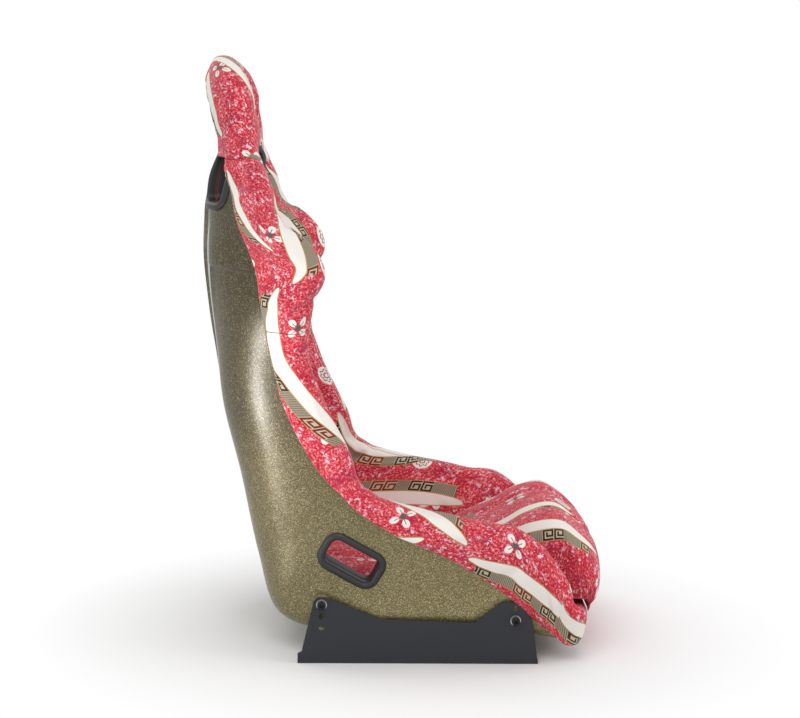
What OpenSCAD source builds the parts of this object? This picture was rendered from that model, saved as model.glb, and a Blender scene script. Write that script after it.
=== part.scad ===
// Fixed-back bucket racing seat: moulded shell, wrapped bolsters, loose cushion,
// harness slots with two-part rims, and folded steel side mounts.
// +X is forward, +Z is up. The origin lies on the floor, midway between the side-mount bolts.

/* [Shell heights] */
// Top edge of the shell at the crown
crown_z = 884; // [850:1:930]
// Height of the neck, just under the headrest
neck_z = 768; // [760:1:776]
// Height of the widest point of the shoulders
shoulder_z = 596; // [585:1:605]
// Height of the waist
waist_z = 462; // [450:1:475]
// Top of the side walls beside the thighs
thigh_z = 209; // [200:1:225]
// Underside of the pan
pan_z = 38; // [32:1:44]
// Top of the front lip
lip_z = 70; // [64:1:80]

/* [Shell depths] */
// Furthest point of the back beside the spine ridge, behind the bolt midpoint
back_x = -321; // [-335:1:-310]
// Front edge of the head wings
head_x = -254; // [-264:1:-244]
// Front edge of the shoulder wings
shoulder_x = -172; // [-185:1:-160]
// Front edge of the hip walls, at the bend
hip_x = -110; // [-120:1:-100]
// Front edge of the lip
lip_x = 238; // [230:1:248]

/* [Shell widths] */
// Width of the shell across the head
head_w = 266; // [250:1:290]
// Width of the shell across the shoulders
shoulder_w = 512; // [490:1:540]
// Width of the shell across the waist
waist_w = 424; // [415:1:440]
// Width of the shell across the thighs
thigh_w = 464; // [450:1:480]
// Width of the flat lower walls that carry the side mounts
wall_w = 400; // [392:1:404]
// Thickness of the shell
shell_t = 5; // [4:0.5:7]
// How far the spine ridge stands out of the back
ridge_h = 9; // [4:1:12]
// Half-width of the flat of the spine ridge
ridge_flat = 40; // [34:1:44]

/* [Padding] */
// Foam and cover over the outside of the shell
wrap_t = 9; // [6:1:12]
// How far the padding rolls beyond the shell's edge
nose = 15; // [12:1:20]
// Foam behind the rim, inside the shell
rim_foam = 30; // [24:1:34]
// Extra swell of the bolsters between rim and valley
bolster_swell = 13; // [6:1:18]
// Foam where bolsters and centre pads meet
valley_foam = 14; // [12:1:18]
// Depth of the sewn channels in the pads
channel_d = 6; // [3:0.5:9]
// Gap between padding and what carries it
fit = 0.3; // [0.2:0.1:0.5]

/* [Seat cushion] */
// Half-width of the cushion between the bolsters
cushion_hw = 173; // [165:1:178]
// Half-width of the cushion where it spreads over the lip
cushion_front_hw = 200; // [185:1:206]
// Highest point of the cushion
cushion_top_z = 208; // [195:1:220]
// Front face of the cushion
cushion_x = 284; // [276:1:292]
// Distance of each lengthwise channel from the middle
lobe_y = 62; // [50:1:75]

/* [Harness slots] */
// Clear width of a shoulder slot
shoulder_slot_w = 68; // [60:1:74]
// Clear height of a shoulder slot
shoulder_slot_h = 66; // [56:1:74]
// Middle of a shoulder slot from the middle of the seat
shoulder_slot_y = 88; // [84:1:92]
// Height of the shoulder slots
shoulder_slot_z = 712; // [706:1:718]
// Clear length of a lap slot
lap_slot_w = 78; // [66:1:86]
// Clear height of a lap slot
lap_slot_h = 40; // [32:1:46]
// Middle of a lap slot behind the bolt midpoint
lap_slot_x = -101; // [-110:1:-92]
// Height of the middle of a lap slot
lap_slot_z = 157; // [152:1:162]
// Slope of a lap slot, down towards the front
lap_slot_tilt = 28; // [20:1:34]
// Clear length of the sub-strap slot, across the pan
crotch_slot_w = 90; // [70:1:100]
// Clear breadth of the sub-strap slot
crotch_slot_h = 36; // [28:1:44]
// Middle of the sub-strap slot
crotch_slot_x = 40; // [30:1:50]
// Corner radius of the slots
slot_r = 11; // [6:1:13]
// Wall of a slot rim
rim_t = 2.5; // [2:0.5:4]
// Flange of a slot rim, beyond its wall
flange_w = 9; // [6:1:11]
// Thickness of a slot flange
flange_t = 3; // [2:0.5:4]

/* [Side mounts] */
// Distance between the two bolts of one side
bolt_pitch = 290; // [280:1:300]
// Height of the rear bolt
rear_bolt_z = 90; // [86:1:94]
// Height of the front bolt
front_bolt_z = 67; // [62:1:72]
// Distance between spare holes
spare_pitch = 18; // [16:0.5:20]
// Distance between the inside faces of the brackets
mount_w = 410; // [408:1:414]
// Steel thickness of the brackets
bracket_t = 3; // [2.5:0.5:4]
// Length of a bracket along the floor
bracket_l = 360; // [350:1:380]
// Height of the bracket between its ears
bracket_web_z = 65; // [58:1:70]
// Width of the floor flange
flange_floor_w = 42; // [36:1:50]
// Inside radius of the fold
fold_r = 3; // [2:0.5:4]
// Screw size
screw_d = 8; // [6:1:8]
// Clearance of the screw holes, on diameter
screw_gap = 0.5; // [0.4:0.1:1]
// Distance between the floor holes, front to back
floor_pitch_x = 290; // [270:1:310]
// Distance of the floor holes inwards of the bracket's outside face
floor_hole_in = 22; // [18:1:25]
// Screw length under the head
screw_l = 22; // [20:1:26]

/* [Hidden] */

GELCOAT = [0.52, 0.49, 0.33];
CLOTH = [0.78, 0.20, 0.26];
CLOTH_DEEP = [0.70, 0.16, 0.22];
TRIM = [0.07, 0.07, 0.08];
POWDER_COAT = [0.18, 0.19, 0.21];
STEEL = [0.72, 0.73, 0.75];

// ---- Stations of the shell, from the crown down the back and along the pan to the lip ----
// Each row: spine x, spine z, rim x, rim z, rim half-width, floor half-width, wall half-width,
// wall turn, inner pad edge, outer wrap edge (all three 0 spine, 1 rim), centre foam,
// shares of the rim foam, the swell and the valley foam, corner ahead of and above the spine.
wall_hw = wall_w / 2;
head_hw = head_w / 2;
shoulder_hw = shoulder_w / 2;
waist_hw = waist_w / 2;
thigh_hw = thigh_w / 2;
STATIONS = [
    [back_x - 1, crown_z - 56, head_x - 52, crown_z,
     0, 0, 0, .60, .44, .50, 40, 1, .3, 1.9, 0, 20],
    [back_x - 1, crown_z - 66, head_x - 44, crown_z - 9,
     head_hw - 53, 38, 66, .60, .42, .48, 42, 1, .3, 1.9, 0, 22],
    [back_x + 8, crown_z - 82, head_x - 22, crown_z - 50,
     head_hw - 6, 72, 118, .58, .35, .39, 46, 1, .3, 1.9, 0, 14],
    [back_x + 23, neck_z, head_x - 8, neck_z + 4,
     head_hw + 2, 82, 134, .52, .31, .34, 44, 1, .4, 1.8, 0, 0],
    [back_x + 5, shoulder_slot_z + 3, head_x + 8, shoulder_slot_z + 3,
     head_hw + 40, 92, 156, .72, .45, .67, 42, 1, .7, 1.5, 0, 0],
    [back_x + 1, shoulder_z + 62, shoulder_x - 52, shoulder_z + 56,
     shoulder_hw - 26, 108, 178, .62, .48, .76, 38, 1, 1, 1.2, 0, 0],
    [back_x, shoulder_z + 2, shoulder_x, shoulder_z - 4,
     shoulder_hw, 122, 205, .55, .50, .785, 34, 1, 1, 1, 0, 0],
    [back_x + 5, shoulder_z - 56, shoulder_x - 10, shoulder_z - 60,
     shoulder_hw - 18, 128, 206, .50, .50, .845, 32, 1, 1, 1, 0, 0],
    [back_x + 15, waist_z, shoulder_x - 13, waist_z,
     waist_hw, 130, 194, .46, .50, .893, 36, 1, .9, 1, 0, 0],
    [back_x + 25, waist_z - 87, hip_x - 45, waist_z - 77,
     waist_hw - 2, 132, 196, .46, .52, .888, 40, 1, .7, 1, 0, 0],
    [back_x + 52, waist_z - 192, hip_x - 10, waist_z - 147,
     waist_hw + 1, 138, 199, .46, .56, .912, 34, 1, .5, 1, 0, 0],
    [back_x + 79, pan_z + 112, hip_x + 6, thigh_z + 62,
     waist_hw + 5, 150, wall_hw, .48, .64, .97, 26, 1, .5, 1, 0, 0],
    [back_x + 112, pan_z + 24, hip_x + 38, thigh_z + 36,
     waist_hw + 10, 180, wall_hw, .44, .72, .975, 20, 1, .5, 1, 0, 0],
    [hip_x - 10, pan_z + 1, hip_x + 90, thigh_z + 19,
     thigh_hw - 6, wall_hw, wall_hw, .40, .78, .955, 20, 1, .5, 1, 0, 0],
    [hip_x + 120, pan_z, lip_x - 163, thigh_z - 4,
     thigh_hw - 1, wall_hw, wall_hw, .44, .78, .905, 20, 1, .4, 1, 0, 0],
    [hip_x + 220, pan_z, lip_x - 90, thigh_z - 27,
     thigh_hw + 4, wall_hw, wall_hw, .50, .70, .795, 20, .9, .3, 1, 0, 0],
    [lip_x - 76, pan_z, lip_x - 37, thigh_z - 77,
     thigh_hw + 3, wall_hw - 4, wall_hw + 5, .50, .56, .66, 20, .5, .1, .7, 17, -4],
    [lip_x - 60, pan_z - 1, lip_x - 9, lip_z + 14,
     thigh_hw - 9, wall_hw - 9, wall_hw + 7, .50, .46, .53, 18, .15, 0, 1, 45, -9],
    [lip_x - 50, pan_z - 3, lip_x - 2, lip_z,
     thigh_hw - 112, 104, 117, .50, .42, .49, 18, .2, 0, 1, 46, -7],
    [lip_x - 44, pan_z - 4, lip_x - 2, lip_z,
     0, 0, 0, .50, .40, .47, 18, .2, 0, 1, 41, -5],
];
last = len(STATIONS) - 1;
RIM_EDGE = 8;
WRAP_EDGE = 9;
CENTRE_FOAM = 10;
RIM_SHARE = 11;
SWELL_SHARE = 12;
VALLEY_SHARE = 13;
CORNER_X = 14;
CORNER_Z = 15;

// Station numbers where one pad ends and the next begins
head_end = 3.5;
shoulder_end = 7.5;
backrest_end = 11.5;
lip_start = 16.5;

// Mesh density: rows for each station, and columns in the three zones of a half section
rows_each = 2;
cols_floor = 6;
cols_side = 3;
cols_wrap = 4;
rows = last * rows_each;
cols = cols_floor + cols_side + cols_wrap;
nose_steps = 4;
step = 0.01;
tiny = 1e-9;

// ---- Small helpers ----
function unit(v) = v / max(norm(v), tiny);
function mix(a, b, f) = a + (b - a) * f;
function flip(p) = [p[0], -p[1], p[2]];
function smooth(f) = let (g = min(1, max(0, f))) g * g * (3 - 2 * g);
function backwards(list) = [for (i = [len(list) - 1:-1:0]) list[i]];
function flatten(grid) = [for (row = grid) each row];
function quadratic(a, b, c, f) = a * (1 - f) * (1 - f) + b * 2 * f * (1 - f) + c * f * f;
function spline(a, b, c, d, f) =
    0.5 * (2 * b + (c - a) * f + (2 * a - 5 * b + 4 * c - d) * f * f + (3 * b - a - 3 * c + d) * f * f * f);

// ---- The surface of the shell ----
// Control points of one station: spine, floor, corner, wall, rim
floor_flat = 0.55;
function controls(s) =
    let (corner_x = s[0] + s[CORNER_X], corner_z = s[1] + s[CORNER_Z])
    [
        [s[0], 0, s[1]],
        [mix(s[0], corner_x, floor_flat), s[5] * floor_flat, mix(s[1], corner_z, floor_flat)],
        [corner_x, s[5], corner_z],
        [mix(corner_x, s[2], s[7]), s[6], mix(corner_z, s[3], s[7])],
        [s[2], s[4], s[3]]
    ];
function flip_all(c) = [for (p = c) flip(p)];
function controls_at(k) =
    k < 0 ? flip_all(controls(STATIONS[-k]))
    : k > last ? flip_all(controls(STATIONS[2 * last - k]))
    : controls(STATIONS[k]);
function section(u) =
    let (k = min(floor(u), last - 1), f = u - k)
    spline(controls_at(k - 1), controls_at(k), controls_at(k + 1), controls_at(k + 2), f);
function station_value(u, column) =
    let (k = min(floor(u), last - 1), f = u - k)
    mix(STATIONS[k][column], STATIONS[k + 1][column], f);

// The spine ridge fades in under the headrest and out again at the lumbar
ridge_start = 3.6;
ridge_full = 5;
ridge_fade = 7.5;
ridge_end = 9.5;
ridge_slope = 14;
function ridge(u, y) =
    ridge_h * smooth((u - ridge_start) / (ridge_full - ridge_start))
    * smooth((ridge_end - u) / (ridge_end - ridge_fade))
    * (1 - smooth((abs(y) - ridge_flat) / ridge_slope));

function on_section(c, t) =
    let (floor_turn = (c[1] + c[2]) / 2, wall_turn = (c[2] + c[3]) / 2, f = 3 * t)
    f < 1 ? quadratic(c[0], c[1], floor_turn, f)
    : f < 2 ? quadratic(floor_turn, c[2], wall_turn, f - 1)
    : quadratic(wall_turn, c[3], c[4], f - 2);
function skin(u, t) =
    u < 0 ? flip(skin(-u, t))
    : u > last ? flip(skin(2 * last - u, t))
    : t < 0 ? flip(skin(u, -t))
    : let (p = on_section(section(u), t)) p - [ridge(u, p[1]), 0, 0];

// Outward normal, in the middle plane at the crown and the lip
function skin_normal(u, t) =
    let (
        seam = u == 0 || u == last,
        f = seam ? max(t, step) : t,
        a = u > last - step ? skin(u - step, f) : skin(u, f),
        b = u > last - step ? skin(u, f) : skin(u + step, f),
        across = skin(u, f + step) - skin(u, f - step),
        n = cross(across, b - a)
    )
    seam ? unit([n[0], 0, n[2]]) : unit(n);
function rim_direction(u) = unit(skin(u, 1) - skin(u, 1 - step));

function column_t(u, j) =
    let (pad = station_value(u, RIM_EDGE), wrap = max(station_value(u, WRAP_EDGE), pad + 0.03))
    j <= cols_floor ? pad * j / cols_floor
    : j <= cols_floor + cols_side ? mix(pad, wrap, (j - cols_floor) / cols_side)
    : mix(wrap, 1, (j - cols_floor - cols_side) / cols_wrap);

function row_u(i) = i / rows_each;
POINTS = [for (i = [0:rows]) [for (j = [0:cols]) skin(row_u(i), column_t(row_u(i), j))]];
NORMALS = [for (i = [0:rows]) [for (j = [0:cols]) skin_normal(row_u(i), column_t(row_u(i), j))]];
RIMS = [for (i = [0:rows]) rim_direction(row_u(i))];

// A point off the shell: negative j is the right-hand side, offset grows outwards
function off_skin(i, j, offset) =
    let (a = abs(j), p = POINTS[i][a] + NORMALS[i][a] * offset)
    j < 0 ? flip(p) : p;

// ---- A sheet of material between two point grids ----
// The outer grid lies on the left of the way along a row. A seam joins a folded end row to itself.
// Neighbours meet on like triangles: `ways` marks the columns that run back towards the middle,
// `middle` the column and `turn_row` the row after which a grid is its own mirror image.
// The two triangles at the tip of a closing seam lie the other way, clear of the middle plane.
function sheet_id(i, j, count, last_row, seam_start, seam_end) =
    i * count + ((seam_start && i == 0) || (seam_end && i == last_row) ? max(j, count - 1 - j) : j);
function quad(a, b, c, d, turned) = turned ? [[a, b, d], [b, c, d]] : [[a, b, c], [a, c, d]];
function is_turned(ways, turn_row, i, j) =
    let (by_column = ways != undef && ways[j], by_row = turn_row != undef && i >= turn_row)
    by_column != by_row;
module sheet(outer, inner, ways, seam_start = false, seam_end = false, middle, turn_row) {
    n = len(outer) - 1;
    count = len(outer[0]);
    m = count - 1;
    shift = (n + 1) * count;
    o = [for (i = [0:n]) [for (j = [0:m]) sheet_id(i, j, count, n, seam_start, seam_end)]];
    in = [for (row = o) [for (id = row) id + shift]];
    skins = [
        for (i = [0:n - 1])
            for (j = [0:m - 1])
                let (
                    at_tip = seam_end && i == n - 1 && abs(2 * j + 1 - m) == 1,
                    turned = is_turned(ways, turn_row, i, j) != at_tip
                )
                each concat(
                    quad(o[i][j], o[i + 1][j], o[i + 1][j + 1], o[i][j + 1], turned),
                    quad(in[i][j], in[i][j + 1], in[i + 1][j + 1], in[i + 1][j], turned)
                )
    ];
    sides = [
        for (i = [0:n - 1])
            each concat(
                quad(o[i + 1][0], o[i][0], in[i][0], in[i + 1][0], true),
                quad(o[i][m], o[i + 1][m], in[i + 1][m], in[i][m], false)
            )
    ];
    start = seam_start ? [] : [
        for (j = [0:m - 1])
            let (beyond = middle != undef && j >= middle)
            each quad(o[0][j], o[0][j + 1], in[0][j + 1], in[0][j], beyond)
    ];
    end = seam_end ? [] : [
        for (j = [0:m - 1])
            let (beyond = middle != undef && j >= middle)
            each quad(o[n][j + 1], o[n][j], in[n][j], in[n][j + 1], !beyond)
    ];
    polyhedron(points = concat(flatten(outer), flatten(inner)), faces = concat(skins, sides, start, end));
}

// ---- Shared outlines ----
module rounded(w, h, r) {
    square([w - 2 * r, h], center = true);
    square([w, h - 2 * r], center = true);
    for (x = [-1, 1])
        for (y = [-1, 1])
            translate([x * (w / 2 - r), y * (h / 2 - r)]) circle(r = r, $fn = 48);
}

// ---- Harness slots ----
// Each slot is a frame on the shell: its outline lies across the frame's Z axis
slot_reach = 120;
shoulder_slot_turn = 15;
lap_slot_lean = 8;
module at_shoulder_slot() {
    translate([back_x + 33, shoulder_slot_y, shoulder_slot_z])
        rotate([0, 0, -shoulder_slot_turn]) rotate([90, 0, 90]) children();
}
module at_lap_slot() {
    translate([lap_slot_x, wall_hw + 4, lap_slot_z])
        rotate([90 - lap_slot_lean, 0, 0]) rotate([0, 0, -lap_slot_tilt]) children();
}
module at_crotch_slot() {
    translate([crotch_slot_x, 0, pan_z]) rotate([0, 0, 90]) children();
}
module shoulder_slot_outline(grow) {
    rounded(shoulder_slot_w + 2 * grow, shoulder_slot_h + 2 * grow, slot_r + grow);
}
module lap_slot_outline(grow) {
    rounded(lap_slot_w + 2 * grow, lap_slot_h + 2 * grow, slot_r + grow);
}
module crotch_slot_outline(grow) {
    rounded(crotch_slot_w + 2 * grow, crotch_slot_h + 2 * grow, slot_r + grow);
}
module through() {
    linear_extrude(height = 2 * slot_reach, center = true) children();
}
rim_gap = rim_t + fit;
module shoulder_slot_cut(grow) {
    at_shoulder_slot() through() shoulder_slot_outline(grow);
}
module lap_slot_cut(grow) {
    at_lap_slot() through() lap_slot_outline(grow);
}
module crotch_slot_cut(grow) {
    at_crotch_slot() through() crotch_slot_outline(grow);
}
module both_sides() {
    children();
    mirror([0, 1, 0]) children();
}

// ---- Side mounts ----
bolt_x = bolt_pitch / 2;
mount_hw = mount_w / 2;
BOLTS = [[-bolt_x, rear_bolt_z], [bolt_x, front_bolt_z]];
insert_r = screw_d / 2 + 2.5;
boss_r = insert_r + 8;
boss_in = 20;
module along_left(x, z, y) {
    translate([x, y, z]) rotate([-90, 0, 0]) children();
}
module mount_bosses() {
    for (b = BOLTS)
        along_left(b[0], b[1], mount_hw - boss_in)
            cylinder(r = boss_r, h = boss_in, $fn = 64);
}
module insert_bores(gap) {
    for (b = BOLTS)
        along_left(b[0], b[1], mount_hw - 2 * boss_in)
            cylinder(r = insert_r + gap, h = 3 * boss_in, $fn = 64);
}

// Room for the plates behind the bosses: where the wall turns in, it gives way to them
plate_t = 2;
plate_w = 40;
plate_h = 30;
plate_r = 6;
plate_face = mount_hw - boss_in;
module plate_pockets(from_y, depth) {
    for (b = BOLTS)
        along_left(b[0], b[1], from_y)
            linear_extrude(height = depth) rounded(plate_w + 2 * fit, plate_h + 2 * fit, plate_r + fit);
}

// ---- Shell ----
module shell_skin() {
    outer = [for (i = [0:rows]) [for (j = [-cols:cols]) off_skin(i, j, 0)]];
    inner = [for (i = [0:rows]) [for (j = [-cols:cols]) off_skin(i, j, -shell_t)]];
    ways = [for (j = [-cols:cols - 1]) j < 0];
    sheet(outer, inner, ways, seam_start = true, seam_end = true);
}
module shell() {
    color(GELCOAT) difference() {
        union() {
            shell_skin();
            both_sides() mount_bosses();
        }
        both_sides() insert_bores(fit);
        both_sides() plate_pockets(plate_face - plate_t - fit, plate_t + fit / 2);
        both_sides() shoulder_slot_cut(rim_gap);
        both_sides() lap_slot_cut(rim_gap);
        crotch_slot_cut(rim_gap);
    }
}

// ---- Padding ----
// Thickness inside the shell: swollen bolster at the sides, crowned pad in the middle
function foam(i, j) =
    let (
        a = abs(j),
        u = row_u(i),
        side = max(0, a - cols_floor) / (cols - cols_floor),
        centre = min(1, a / cols_floor),
        rim = rim_foam * station_value(u, RIM_SHARE),
        valley = min(valley_foam * station_value(u, VALLEY_SHARE), rim),
        swell = bolster_swell * station_value(u, SWELL_SHARE)
    )
    a >= cols_floor
    ? mix(valley, rim, side) + swell * sin(180 * pow(side, 0.8))
    : mix(station_value(u, CENTRE_FOAM), valley, pow(centre, 3));
inner_gap = shell_t + fit;
wrap_lip = 3;
lip_wrap_extra = 9;
function wrap_depth(i, j, first) =
    let (extra = lip_wrap_extra * smooth((row_u(i) - lip_start + 1) / 2))
    fit + (j == first ? wrap_lip : wrap_t + extra);

// From the outer wrap edge, over the rim, to the inner column `end`
outer_first = cols_floor + cols_side;
function groove_side(i, first, end) = concat(
    [for (j = [first:cols]) off_skin(i, j, fit) + (j == cols ? RIMS[i] * fit : [0, 0, 0])],
    [for (q = [1:nose_steps - 1])
        mix(off_skin(i, cols, fit), off_skin(i, cols, -inner_gap), q / nose_steps) + RIMS[i] * fit],
    [for (j = [cols:-1:end]) off_skin(i, j, -inner_gap) + (j == cols ? RIMS[i] * fit : [0, 0, 0])]
);
function face_side(i, first, end) =
    let (
        out = off_skin(i, cols, wrap_depth(i, cols, first)),
        in = off_skin(i, cols, -inner_gap - foam(i, cols)),
        middle = (out + in) / 2,
        half = (out - in) / 2
    )
    concat(
        [for (j = [first:cols]) off_skin(i, j, wrap_depth(i, j, first))],
        [for (q = [1:nose_steps - 1])
            let (angle = 180 * q / nose_steps)
            middle + half * cos(angle) + RIMS[i] * nose * sin(angle)],
        [for (j = [cols:-1:end]) off_skin(i, j, -inner_gap - foam(i, j))]
    );
function side_ways(end) = concat(
    [for (k = [1:cols - outer_first + nose_steps / 2]) false],
    [for (k = [1:cols - end + nose_steps / 2]) true]
);
function across_middle(side) = concat(side, [for (k = [len(side) - 2:-1:0]) flip(side[k])]);
function ways_across(ways) = concat(ways, [for (way = backwards(ways)) !way]);
function round_the_middle(grid) = concat(grid, [for (k = [len(grid) - 2:-1:0]) flip_all(grid[k])]);

module side_pad(start_u, end_u) {
    list = [start_u * rows_each:end_u * rows_each];
    face = [for (i = list) face_side(i, outer_first, cols_floor)];
    groove = [for (i = list) groove_side(i, outer_first, cols_floor)];
    sheet(face, groove, side_ways(cols_floor));
}
// Patches of the shell, and of the padding's face: first station, last station, first column, last column
shoulder_window = [3, 5, 1, 11];
shoulder_room_window = [2.5, 5.5, 1, 12];
lap_window = [11, 14.5, cols_floor - 1, cols];
lap_pad_window = [11, 14.5, cols_floor, cols];
tape_window = [13.5, 14.5, 1, 2];
module patch(window, low, high) {
    list = [window[0] * rows_each:window[1] * rows_each];
    sheet(
        [for (i = list) [for (j = [window[2]:window[3]]) off_skin(i, j, high)]],
        [for (i = list) [for (j = [window[2]:window[3]]) off_skin(i, j, low)]]
    );
}
// From a depth under the shell, or from the face if that is negative, to a flange's thickness over the face
module foam_patch(window, low) {
    list = [window[0] * rows_each:window[1] * rows_each];
    sheet(
        [for (i = list) [for (j = [window[2]:window[3]])
            off_skin(i, j, low < 0 ? low - inner_gap - foam(i, j) : -low)
        ]],
        [for (i = list) [for (j = [window[2]:window[3]])
            off_skin(i, j, -inner_gap - foam(i, j) - fit - flange_t)
        ]]
    );
}
// Room for the outer rim of a shoulder slot, where padding covers the outside of the shell
module shoulder_bezel_room() {
    intersection() {
        patch(shoulder_room_window, -shell_t / 2, wrap_t + 2 * fit);
        shoulder_slot_cut(rim_t + flange_w + fit);
    }
}

module headrest_pad() {
    list = [0:head_end * rows_each];
    face = [for (i = list) across_middle(face_side(i, outer_first, 0))];
    groove = [for (i = list) across_middle(groove_side(i, outer_first, 0))];
    ways = side_ways(0);
    color(CLOTH) difference() {
        sheet(face, groove, ways_across(ways), seam_start = true, middle = len(ways));
        both_sides() {
            shoulder_slot_cut(rim_gap);
            shoulder_bezel_room();
        }
    }
}
module shoulder_bolster() {
    difference() {
        side_pad(head_end, shoulder_end);
        shoulder_slot_cut(rim_gap);
        shoulder_bezel_room();
    }
}
module shoulder_bolster_left() {
    color(CLOTH_DEEP) shoulder_bolster();
}
module shoulder_bolster_right() {
    color(CLOTH_DEEP) mirror([0, 1, 0]) shoulder_bolster();
}
// The wrap hangs clear of the bracket's ears
ear_room = 2;
module bracket_pocket() {
    translate([-bracket_l / 2, mount_hw - 2 * bracket_t, 0])
        cube([bracket_l, 3 * bracket_t + fit, front_ear_z + ear_room]);
}
// The foam is cut away round the plates and the inserts
module mount_room() {
    plate_pockets(plate_face - plate_t - insert_flange_t - 3 * fit, boss_in);
}
module thigh_bolster() {
    difference() {
        side_pad(shoulder_end, lip_start);
        lap_slot_cut(rim_gap);
        bracket_pocket();
        mount_room();
    }
}
module thigh_bolster_left() {
    color(CLOTH) thigh_bolster();
}
module thigh_bolster_right() {
    color(CLOTH) mirror([0, 1, 0]) thigh_bolster();
}
module front_lip_pad() {
    list = [for (i = [lip_start * rows_each:last * rows_each]) i];
    face = [for (i = list) face_side(i, outer_first, cols_floor)];
    groove = [for (i = list) groove_side(i, outer_first, cols_floor)];
    color(CLOTH_DEEP) sheet(
        round_the_middle(face), round_the_middle(groove), side_ways(cols_floor), turn_row = len(list) - 1
    );
}

// Middle pad of the back, crowned, with cross channels
channel_rows = [5.5, 7, 8.5, 10];
channel_half = 0.28;
function channel(u) = max([for (c = channel_rows) 1 - min(1, abs(u - c) / channel_half)]);
module backrest_pad() {
    list = [head_end * rows_each:backrest_end * rows_each];
    across = [cols_floor:-1:-cols_floor];
    shell_side = [for (i = list) [for (j = across) off_skin(i, j, -inner_gap)]];
    face = [for (i = list) [for (j = across)
        off_skin(i, j, -inner_gap - foam(i, j) + channel_d * channel(row_u(i)) * (1 - pow(j / cols_floor, 2)))
    ]];
    ways = [for (j = across) j > 0];
    color(CLOTH) difference() {
        sheet(face, shell_side, ways);
        both_sides() shoulder_slot_cut(rim_gap);
    }
}

// ---- Seat cushion ----
// It lies on the hook and loop tape
tape_t = 1.5;
// Three lobes, drawn-in sides, and a front that rolls over the lip.
// Each row: top x, top z, bottom x, bottom z, half-width
cushion_floor = pan_z + inner_gap + 2 * tape_t + 2 * fit;
cushion_lip = lip_z + nose + 3;
front_gap = lip_x + nose + 4;
CUSHION = [
    [back_x + 122, pan_z + 78, back_x + 128, pan_z + 46, cushion_hw - 30],
    [back_x + 132, pan_z + 92, back_x + 142, pan_z + 32, cushion_hw - 18],
    [back_x + 160, pan_z + 94, back_x + 170, cushion_floor + 6, cushion_hw - 8],
    [hip_x - 20, pan_z + 90, hip_x - 20, cushion_floor, cushion_hw],
    [hip_x + 115, pan_z + 88, hip_x + 115, cushion_floor, cushion_hw + 3],
    [lip_x - 115, cushion_top_z - 34, lip_x - 105, cushion_floor, cushion_hw + 4],
    [lip_x - 68, cushion_top_z - 8, lip_x - 62, cushion_floor + 8, cushion_hw + 6],
    [lip_x - 28, cushion_top_z, lip_x - 34, cushion_lip, cushion_front_hw - 16],
    [lip_x + 5, cushion_top_z - 17, lip_x - 8, cushion_lip + 6, cushion_front_hw - 4],
    [cushion_x - 7, cushion_top_z - 46, lip_x + 12, cushion_lip + 6, cushion_front_hw],
    [cushion_x + 1, cushion_top_z - 90, front_gap, cushion_lip, cushion_front_hw],
    [cushion_x - 7, lip_z + 24, front_gap, lip_z + 12, cushion_front_hw - 4],
    [cushion_x - 18, lip_z + 8, front_gap + 1, lip_z + 5, cushion_front_hw - 12],
];
cushion_last = len(CUSHION) - 1;
cushion_across = 8;
cushion_drawn = 0.55;
cushion_foot = 0.955;
lobe_half = 22;
function lobe_channel(y) = pow(max(0, 1 - abs(abs(y) - lobe_y) / lobe_half), 2);
function cushion_y(row, f) = row[4] * sin(90 * f);
function cushion_bottom(row, f) = [row[2], cushion_y(row, f) * cushion_foot, row[3]];
function cushion_face(row, f) =
    let (
        y = cushion_y(row, f),
        bottom = cushion_bottom(row, f),
        top = [row[0], y, row[1]],
        height = 1 - (1 - cushion_drawn) * pow(abs(f), 4),
        dip = min(0.3, 1.5 * channel_d * lobe_channel(y) / norm(top - bottom))
    )
    mix(bottom, top, height - dip);
function cushion_row(k) = CUSHION[max(0, min(cushion_last, k))];
module seat_cushion() {
    across = [for (k = [-cushion_across:cushion_across]) k / cushion_across];
    rows_fine = concat(
        [
            for (k = [0:cushion_last - 1])
                each [
                    CUSHION[k],
                    spline(cushion_row(k - 1), CUSHION[k], cushion_row(k + 1), cushion_row(k + 2), 0.5)
                ]
        ],
        [CUSHION[cushion_last]]
    );
    top = [for (row = rows_fine) [for (f = across) cushion_face(row, f)]];
    bottom = [for (row = rows_fine) [for (f = across) cushion_bottom(row, f)]];
    color(CLOTH) difference() {
        sheet(bottom, top);
        crotch_slot_cut(rim_gap);
    }
}

// ---- Slot rims ----
// A flange follows what it lies on: it is cut from a thick patch of the skin by the slot's outline.
// The outer half of a rim clips to the shell, the inner half to the padding.
rim_split = inner_gap + 6;
module shoulder_slot_bezel() {
    difference() {
        union() {
            intersection() {
                patch(shoulder_window, fit, fit + flange_t);
                shoulder_slot_cut(rim_t + flange_w);
            }
            intersection() {
                patch(shoulder_window, -rim_split, fit + flange_t);
                shoulder_slot_cut(rim_t);
            }
        }
        shoulder_slot_cut(0);
    }
}
module shoulder_slot_collar() {
    difference() {
        union() {
            intersection() {
                foam_patch(shoulder_window, -fit);
                shoulder_slot_cut(rim_t + flange_w);
            }
            intersection() {
                foam_patch(shoulder_window, rim_split + fit);
                shoulder_slot_cut(rim_t);
            }
        }
        shoulder_slot_cut(0);
    }
}
module lap_slot_bezel() {
    difference() {
        union() {
            intersection() {
                patch(lap_window, fit, fit + flange_t);
                lap_slot_cut(rim_t + flange_w);
            }
            intersection() {
                patch(lap_window, -rim_split, fit + flange_t);
                lap_slot_cut(rim_t);
            }
        }
        lap_slot_cut(0);
    }
}
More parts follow.
